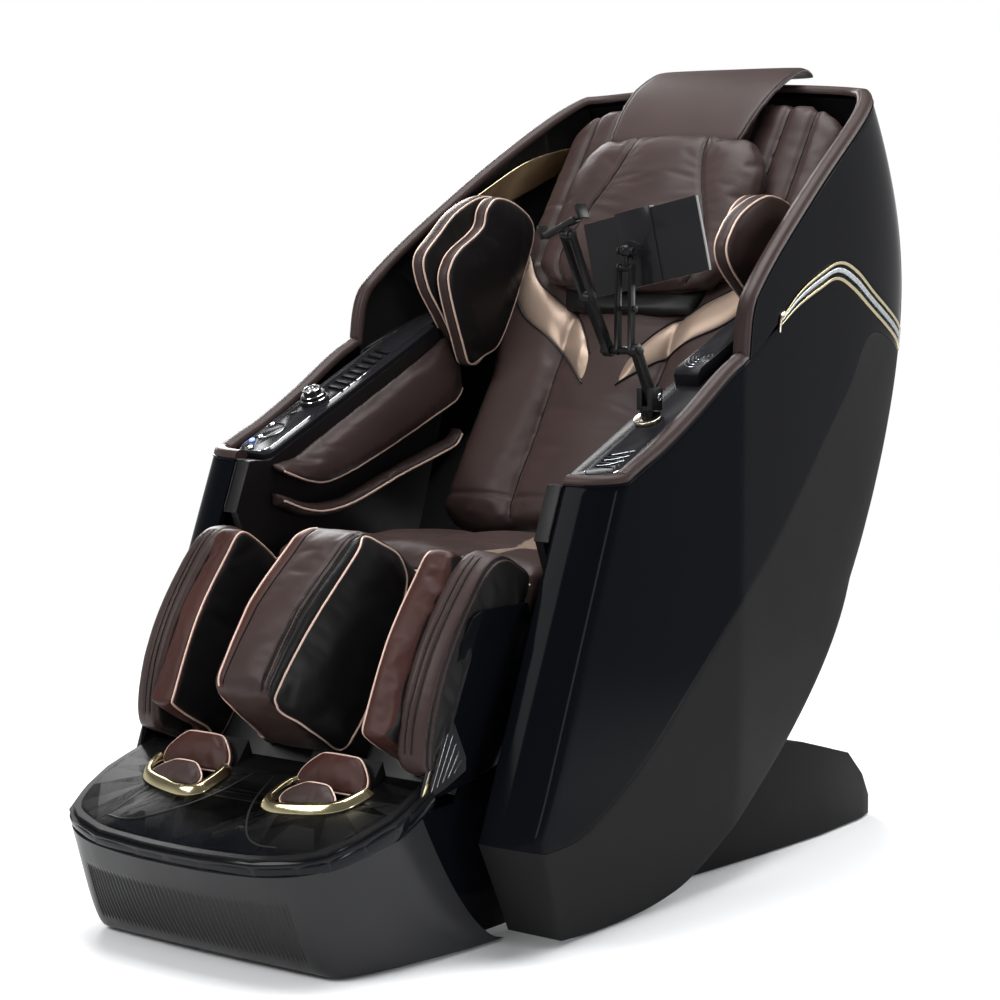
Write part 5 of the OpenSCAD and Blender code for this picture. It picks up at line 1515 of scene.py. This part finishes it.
def ring_outline(radius, steps=40):
    """Open outline of a foot ring, from heel to heel round the toes."""
    return [tuple(p) for p in trace([(x * radius, y * radius) for x, y in RING], steps)]


def cut(obj, cutters):
    """What is left of an object when the cutters' forms are taken out, one after the other."""
    for cutter in cutters:
        tool = obj.modifiers.new("cut", "BOOLEAN")
        tool.operation, tool.solver, tool.object = "DIFFERENCE", "EXACT", cutter
    bm = taken(evaluated(obj))
    for used in [obj] + cutters:
        bpy.data.objects.remove(used)
    return bm


# section of the tray's lip: (distance in from the outline, height over the top)
LIP = [(6, -40), (2.5, -33), (0.4, -24), (0, -12), (1.2, -9.6), (4.0, -8.6), (5.0, -7.4), (14, -1.4),
       (16, 0)]


def stepped_tray():
    """Tray top with a stepped lip, closed underneath."""
    steps = len(tray_outline(0)) - 1

    def place(u, v):
        inset, up = LIP[round(v * (len(LIP) - 1))]
        x, y = tray_outline(inset)[round(u * steps)]
        return on_tray(x, y, up)
    return close_ends(surface(steps, len(LIP) - 1, place))


def build_foot_housing():
    """Gloss tray with foot wells, its ribbed skirt and the gold rings."""
    wells = []
    for s in (LEFT, RIGHT):
        well = ring_outline(RING_R - 1)
        well[0], well[-1] = (well[0][0], WELL_REAR), (well[-1][0], WELL_REAR)
        outline = [(s * (RING_X + x), WELL + y) for x, y in well]
        wells.append(raw_object(prism(outline, -60, 30, on_tray), "well_form"))
    bm = cut(raw_object(stepped_tray(), "tray_form"), wells)
    bmesh.ops.remove_doubles(bm, verts=bm.verts, dist=2 * MERGE)
    bmesh.ops.dissolve_limit(bm, angle_limit=radians(0.5), verts=bm.verts, edges=bm.edges)
    piece(round_edges(bm, 1.6, 35, 3), "tray_top", "foot_housing", "tray", "gloss_shell")
    painted("foot_tray", "black")
    # crease of the tray between and around the feet
    crease = [(20, 215), (34, 158), (60, 108), (96, 66), (128, 50), (162, 52)]
    for s, label in SIDES:
        line = [on_tray(s * x, v, 0.2) * MM for x, v in trace(crease, 40)]
        piece(tube(line, 1.3, sides=8), "tray_crease" + label, "foot_housing", "satin", "gloss_shell")
    outer = ring_outline(RING_R + RING_W, 60)
    steps = len(outer) - 1
    for s, label in SIDES:
        def place(u, v):
            """Band section: inner foot, inner slope, flat crest, outer bevel."""
            x, y = outer[round(u * steps)]
            reach = sqrt(x * x + y * y)
            share, up = [(1, 0), (1, 3.0), (1 - 6.5 / reach, 10.4), (1 - 9.0 / reach, 12.0),
                         (1 - 15.5 / reach, 12.4), (1 - 18 / reach, 9.0), (1 - 18 / reach, 0),
                         (1, 0)][round(v * 7)]
            return on_tray(s * (RING_X + x * share), WELL + y * share, 0.2 + up)
        bm = round_edges(close_ends(surface(steps, 7, place)), 0.4, 25, 2)
        piece(bm, "foot_ring" + label, "foot_housing", "gold", "gold_trim",
              ("foot_rings",) if s == LEFT else (), sharp=30)
    skirt_piece()


FLOOR_LINE = [(0, -662), (60, -662), (120, -661), (180, -660), (226, -652), (250, -590), (264, -520),
              (279, -430), (284, -356)]
RIB_PITCH = 0.018  # share of half the skirt
EDGE_LINE = [(0, -753), (62, -752), (120, -747), (170, -739), (212, -724), (246, -698), (268, -648),
             (277, -596), (270, -534)]


def skirt_piece():
    """Skirt of the foot housing with a ribbed recess across its front."""
    def top_of(b):
        """Height of the skirt's top edge, under the tray's lip."""
        return TRAY_Z + (b.y - TRAY_Y) * tan(radians(TRAY_RISE)) - LIP_T / cos(radians(TRAY_RISE)) - 0.4

    def place(u, v):
        side = 1 if u >= 0.5 else -1
        along = 2 * u - 1
        a, b = spline(FLOOR_LINE, abs(along)), spline(EDGE_LINE, abs(along))
        p = a.lerp(b, v ** 0.6)
        inside = ramp((0.44 - abs(along)) / 0.012) * ramp((v - 0.16) / 0.03) * ramp((0.74 - v) / 0.03)
        rib = 0.5 + 0.5 * cos(along / RIB_PITCH * 2 * pi)
        sink = inside * (2.6 - 2.4 * rib)
        return Vector((side * p.x, p.y + sink, mix(4, top_of(b), v)))
    bm = thicken(face_towards(surface(720, 40, place), (0, -1, 0)), 8)
    piece(bm, "foot_skirt_shell", "foot_housing", "satin", "matte_shell", ("foot_skirt",), sharp=50)
    cheek = [(-532, 214), (-505, 130), (-450, 48), (-390, 14), (-312, 14), (-306, 120), (-330, 290),
             (-396, 290), (-434, 226), (-440, 214)]
    plates = [round_edges(prism(cheek, 254 * s, 262 * s, side_view), 1.5, 30, 2) for s in (LEFT, RIGHT)]
    piece(join(plates), "foot_cheeks", "foot_housing", "gloss", "gloss_shell")


def build_sole_pads():
    """Sole and heel pads in the foot wells, piped round their edges."""
    def pad(half, depth, along, lift, angle, x, high):
        """Tilted pad and its seam: half widths at three places, with its foot at (x, along, lift)."""
        tilted = hinged(0, 0, angle)

        def at(px, a, up):
            q = tilted(px, a, up)
            return on_tray(x + q.x, along + q.y, lift + q.z)
        outline = [(-half[0], 2), (-half[1], depth * 0.45), (-half[2], depth - 4), (-half[2] * 0.6, depth),
                   (half[2] * 0.6, depth), (half[2], depth - 4), (half[1], depth * 0.45), (half[0], 2),
                   (half[0] * 0.6, 0), (-half[0] * 0.6, 0)]
        mid = Vector((0, depth / 2))
        # crown, edge and underside: (share of the outline, height)
        rings = ((0.02, high + 3), (0.62, high + 2.2), (0.93, high - 1), (1.0, high * 0.5), (0.97, 0.5),
                 (0.6, 0), (0.02, 0))

        def place(u, v):
            share, up = rings[round(v * (len(rings) - 1))]
            q = mid + (spline(outline, u, closed=True) - mid) * share
            return at(q.x, q.y, up)
        edge = [at(p.x, p.y, high * 0.72) for p in trace(outline, 80, closed=True)]
        return close_ends(surface(80, 6, place)), edge
    specs = [("sole_pad", (46, 50, 26), 46, WELL - 34, -6.0, 20, FOOT_X + 2, 13, "brown"),
             ("heel_pad", (62, 64, 40), 58, WELL + 22, -10.0, 38, FOOT_X + 6, 16, "maroon")]
    for name, half, depth, along, up, angle, x, high, finish in specs:
        for side, label in SIDES:
            bm, edge = pad(half, depth, along, up, angle, x, high)
            node = ("sole_pads",) if name == "sole_pad" and side == LEFT else ()
            padding(bm, name + label, "foot_housing", finish, "dark_leather", node,
                    [seam(edge, closed=True, piping=True, depth=0.8, radius=1.4)], voxel=3, cap=3, pressure=3,
                    side=side)


# ---------- holder ----------
BOLT_Y, BOLT_Z, BOLT_R, BOLT_L = -40, 770, 6, 4


def build_holder():
    """Post, links, ball joint, tablet and phone clamp."""
    dressed("holder_ring", "pod", "champagne", 1.2, "gold_trim", angle=40, segments=3)
    for node, radius, slot in (("holder_post", 1.0, "black_plastic"), ("holder_link", 0.8, "black_plastic"),
                               ("tablet_arm", 0.7, "black_plastic"), ("phone_arm", 0.7, "black_plastic"),
                               ("phone_clamp", 0.8, "black_plastic"), ("clamp_jaw", 0.6, "chrome_trim")):
        dressed(node, node, "black", radius, slot)
    dressed("tablet", "tablet", "glass", 1.2, "tablet_glass", segments=3)
    low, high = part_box("holder_post")
    for name, x in (("post_bolt", low.x - MM), ("post_nut", high.x + MM)):
        bm = bmesh.new()
        turn = Matrix.Translation((x, BOLT_Y * MM, BOLT_Z * MM)) @ Matrix.Rotation(pi / 2, 4, "Y")
        bmesh.ops.create_cone(bm, cap_ends=True, segments=28, radius1=BOLT_R * MM, radius2=BOLT_R * MM,
                              depth=BOLT_L * MM, matrix=turn)
        piece(round_edges(bm, 0.8, 40, 2), name, "holder_post", "chrome", "chrome_trim")


# ---------- base and inner works ----------
LID_Y, LID_Z = 556, 128


def build_base():
    """Base cover and every inner part, each with the finish it has."""
    dressed("base_cover", "base", "matte", 4.0, "matte_shell", angle=20, segments=4)
    finishes = {"steel": ("base_frame", "slide_carriage", "pod_frame", "leg_frame"),
                "rubber": ("glide_feet", "transport_wheels", "massage_rollers", "foot_rollers"),
                "chrome": ("slide_rails", "back_track"),
                "black": ("power_inlet", "recline_motor", "massage_carriage", "air_pump"),
                "satin": ("control_box",)}
    for finish, nodes in finishes.items():
        for node in nodes:
            painted(node, finish)
    # joint of the base cover's rear lid
    line = [Vector((x, LID_Y, LID_Z + 0.6)) * MM for x in widthwise(286, 12)]
    piece(tube(line, 0.9, sides=6), "lid_joint", "base", "black", "black_plastic")


# ---------- stage ----------
CAMERA_AT = (2.48346, -3.28480, 1.05360)
CAMERA_TURN = (90 - 6.4438, 0, 37)
SENSOR = 36
FOCAL = 93.6
# share of the white backdrop that mirrored rays see
MIRRORED = 0.6


def soft_lamp(name, at, towards, size, power, tint=(1, 1, 1)):
    """Soft box at a place, turned towards another."""
    data = bpy.data.lights.new(name, "AREA")
    data.shape = "RECTANGLE"
    data.size, data.size_y = size
    data.energy = power
    data.color = tint
    lamp = bpy.data.objects.new(name, data)
    lamp.location = at
    lamp.rotation_mode = "QUATERNION"
    lamp.rotation_quaternion = (Vector(towards) - Vector(at)).to_track_quat("-Z", "Y")
    bpy.context.scene.collection.objects.link(lamp)


def sight(tree, path):
    """1 for camera, glossy and transmission rays, 0 for the rays that light things."""
    seen = math_node(tree, "MAXIMUM", path.outputs["Is Camera Ray"], path.outputs["Is Transmission Ray"])
    return math_node(tree, "MAXIMUM", seen, path.outputs["Is Glossy Ray"])


def blend(tree, share, first, second, end):
    """Two shaders mixed by a share into the output's surface."""
    node = tree.nodes.new("ShaderNodeMixShader")
    for socket, link in zip(node.inputs, (share, first.outputs[0], second.outputs[0])):
        tree.links.new(link, socket)
    tree.links.new(node.outputs[0], end.inputs["Surface"])


def build_floor():
    """Pale floor that keeps the chair's shadow and fades to white around it."""
    floor_bm = bmesh.new()
    bmesh.ops.create_grid(floor_bm, x_segments=1, y_segments=1, size=30)
    floor = raw_object(floor_bm, "studio_floor")
    made, tree, shader, where = material("studio_floor")
    soft = add(tree, "ShaderNodeTexNoise", Vector=where, Scale=2.0, Detail=2.0)
    vary(tree, shader, soft.outputs[0], (0.93, 0.93, 0.93), 0.99, 1.01)
    shader.inputs["Roughness"].default_value = 0.9
    shader.inputs["Specular IOR Level"].default_value = 0.1
    # the floor fades to plain white away from the chair, for sight and for reflections only
    reach = add(tree, "ShaderNodeVectorMath", {"operation": "LENGTH"}, i0=where)
    faded = add(tree, "ShaderNodeMapRange", {"interpolation_type": "SMOOTHSTEP"},
                Value=reach.outputs["Value"], From_Min=1.1, From_Max=2.4)
    path = tree.nodes.new("ShaderNodeLightPath")
    shown = math_node(tree, "MAXIMUM", path.outputs["Is Camera Ray"], MIRRORED)
    plain = add(tree, "ShaderNodeEmission", Strength=shown)
    share = math_node(tree, "MULTIPLY", faded.outputs["Result"], sight(tree, path))
    blend(tree, share, shader, plain, tree.nodes["Material Output"])
    floor.data.materials.append(made)


def build_world():
    """Grey-blue light all round, and a white backdrop for sight and reflections."""
    world = bpy.data.worlds.new("studio")
    bpy.context.scene.world = world
    world.use_nodes = True
    tree = world.node_tree
    tree.nodes.clear()
    path = tree.nodes.new("ShaderNodeLightPath")
    dim = add(tree, "ShaderNodeBackground", Color=(0.86, 0.88, 0.92, 1), Strength=0.5)
    # mirrored rays see the white backdrop low down and a darker ceiling above it
    up = add(tree, "ShaderNodeSeparateXYZ", Vector=tree.nodes.new("ShaderNodeTexCoord").outputs["Generated"])
    ceiling = add(tree, "ShaderNodeMapRange", {"interpolation_type": "SMOOTHSTEP"}, Value=up.outputs["Z"],
                  From_Min=0.02, From_Max=0.4, To_Min=MIRRORED, To_Max=0.12)
    shown = math_node(tree, "MAXIMUM", path.outputs["Is Camera Ray"], ceiling.outputs["Result"])
    white = add(tree, "ShaderNodeBackground", Color=(1, 1, 1, 1), Strength=shown)
    blend(tree, sight(tree, path), dim, white, tree.nodes.new("ShaderNodeOutputWorld"))


def build_stage():
    """Floor, world, studio lamps and camera."""
    scene = bpy.context.scene
    scene.view_settings.view_transform = "Standard"
    build_floor()
    build_world()
    centre = (0, 0, 0.6)
    soft_lamp("key", (-1.6, -4.2, 3.6), centre, (2.6, 2.0), 150)
    soft_lamp("side", (4.6, -1.2, 1.25), (0.2, 0.1, 1.0), (0.6, 2.4), 50, (0.92, 0.95, 1.0))
    soft_lamp("top", (0, 0.3, 4.6), (0, 0, 0.4), (3.0, 3.0), 240)
    soft_lamp("rim", (-3.4, 2.6, 2.4), centre, (1.8, 2.4), 150)
    soft_lamp("back", (2.6, 4.2, 2.2), centre, (2.0, 2.0), 110)

    data = bpy.data.cameras.new("camera")
    data.sensor_width = SENSOR
    data.lens = FOCAL
    camera = bpy.data.objects.new("camera", data)
    camera.location = CAMERA_AT
    camera.rotation_euler = [radians(a) for a in CAMERA_TURN]
    scene.collection.objects.link(camera)
    scene.camera = camera


# ---------- operators ----------
class CHAIR_OT_materials(bpy.types.Operator):
    """Make every finish."""

    bl_idname = "chair.materials"
    bl_label = "Finishes"

    def execute(self, context):
        build_materials()
        return {"FINISHED"}


class CHAIR_OT_stage(bpy.types.Operator):
    """Set up the floor, the lamps and the camera."""

    bl_idname = "chair.stage"
    bl_label = "Stage"

    def execute(self, context):
        build_stage()
        return {"FINISHED"}


class CHAIR_OT_shells(bpy.types.Operator):
    """Mould the side, wing, skirt and back shells."""

    bl_idname = "chair.shells"
    bl_label = "Shells"

    def execute(self, context):
        build_shells()
        return {"FINISHED"}


class CHAIR_OT_trims(bpy.types.Operator):
    """Lay the chevron trims into the side shells."""

    bl_idname = "chair.trims"
    bl_label = "Chevron trims"

    def execute(self, context):
        build_trims()
        return {"FINISHED"}


class CHAIR_OT_rim(bpy.types.Operator):
    """Pad the shell's edge with leather."""

    bl_idname = "chair.rim"
    bl_label = "Leather rim"

    def execute(self, context):
        build_rim()
        return {"FINISHED"}


class CHAIR_OT_linings(bpy.types.Operator):
    """Line the head shells and set the speakers."""

    bl_idname = "chair.linings"
    bl_label = "Linings and speakers"

    def execute(self, context):
        build_linings()
        build_liners()
        return {"FINISHED"}


class CHAIR_OT_consoles(bpy.types.Operator):
    """Build the consoles, the knob, the keys and the buttons."""

    bl_idname = "chair.consoles"
    bl_label = "Consoles and controls"

    def execute(self, context):
        build_consoles()
        build_controls()
        return {"FINISHED"}


class CHAIR_OT_seat(bpy.types.Operator):
    """Sew the seat, the back rest and the pillow."""

    bl_idname = "chair.seat"
    bl_label = "Seat, back and pillow"

    def execute(self, context):
        build_seat()
        build_back()
        build_pillow()
        return {"FINISHED"}


class CHAIR_OT_airbags(bpy.types.Operator):
    """Sew the shoulder and arm airbags."""

    bl_idname = "chair.airbags"
    bl_label = "Airbags"

    def execute(self, context):
        build_shoulder_bags()
        build_arm_bags()
        return {"FINISHED"}


class CHAIR_OT_leg_rest(bpy.types.Operator):
    """Sew the calf bolsters and fit the side covers."""

    bl_idname = "chair.leg_rest"
    bl_label = "Leg rest"

    def execute(self, context):
        build_leg_rest()
        build_side_covers()
        return {"FINISHED"}


class CHAIR_OT_foot_housing(bpy.types.Operator):
    """Build the foot housing with its rings and sole pads."""

    bl_idname = "chair.foot_housing"
    bl_label = "Foot housing"

    def execute(self, context):
        build_foot_housing()
        build_sole_pads()
        return {"FINISHED"}


class CHAIR_OT_holder(bpy.types.Operator):
    """Finish the tablet and phone holder."""

    bl_idname = "chair.holder"
    bl_label = "Holder"

    def execute(self, context):
        build_holder()
        return {"FINISHED"}


class CHAIR_OT_base(bpy.types.Operator):
    """Finish the base and the inner works."""

    bl_idname = "chair.base"
    bl_label = "Base and works"

    def execute(self, context):
        build_base()
        return {"FINISHED"}


OPERATORS = (CHAIR_OT_materials, CHAIR_OT_stage, CHAIR_OT_shells, CHAIR_OT_trims, CHAIR_OT_rim,
             CHAIR_OT_linings, CHAIR_OT_consoles, CHAIR_OT_seat, CHAIR_OT_airbags, CHAIR_OT_leg_rest,
             CHAIR_OT_foot_housing, CHAIR_OT_holder, CHAIR_OT_base)


class CHAIR_PT_panel(bpy.types.Panel):
    """Sidebar panel with the chair's colours, sizes and build steps."""

    bl_idname = "CHAIR_PT_panel"
    bl_label = "Massage Chair"
    bl_space_type = "VIEW_3D"
    bl_region_type = "UI"
    bl_category = "Chair"

    def draw(self, context):
        column = self.layout.column()
        for group in (context.scene.chair_colours, context.scene.chair_sizes):
            for key in group.__annotations__:
                column.prop(group, key)
        for one in OPERATORS:
            column.operator(one.bl_idname)


CLASSES = (ChairColours, ChairSizes, CHAIR_PT_panel) + OPERATORS


def register():
    for one in CLASSES:
        bpy.utils.register_class(one)
    bpy.types.Scene.chair_colours = bpy.props.PointerProperty(type=ChairColours)
    bpy.types.Scene.chair_sizes = bpy.props.PointerProperty(type=ChairSizes)


def unregister():
    del bpy.types.Scene.chair_sizes
    del bpy.types.Scene.chair_colours
    for one in reversed(CLASSES):
        bpy.utils.unregister_class(one)


def main():
    """Builds the whole chair."""
    register()
    for one in OPERATORS:
        group, name = one.bl_idname.split(".")
        getattr(getattr(bpy.ops, group), name)()


if __name__ == "__main__":
    main()
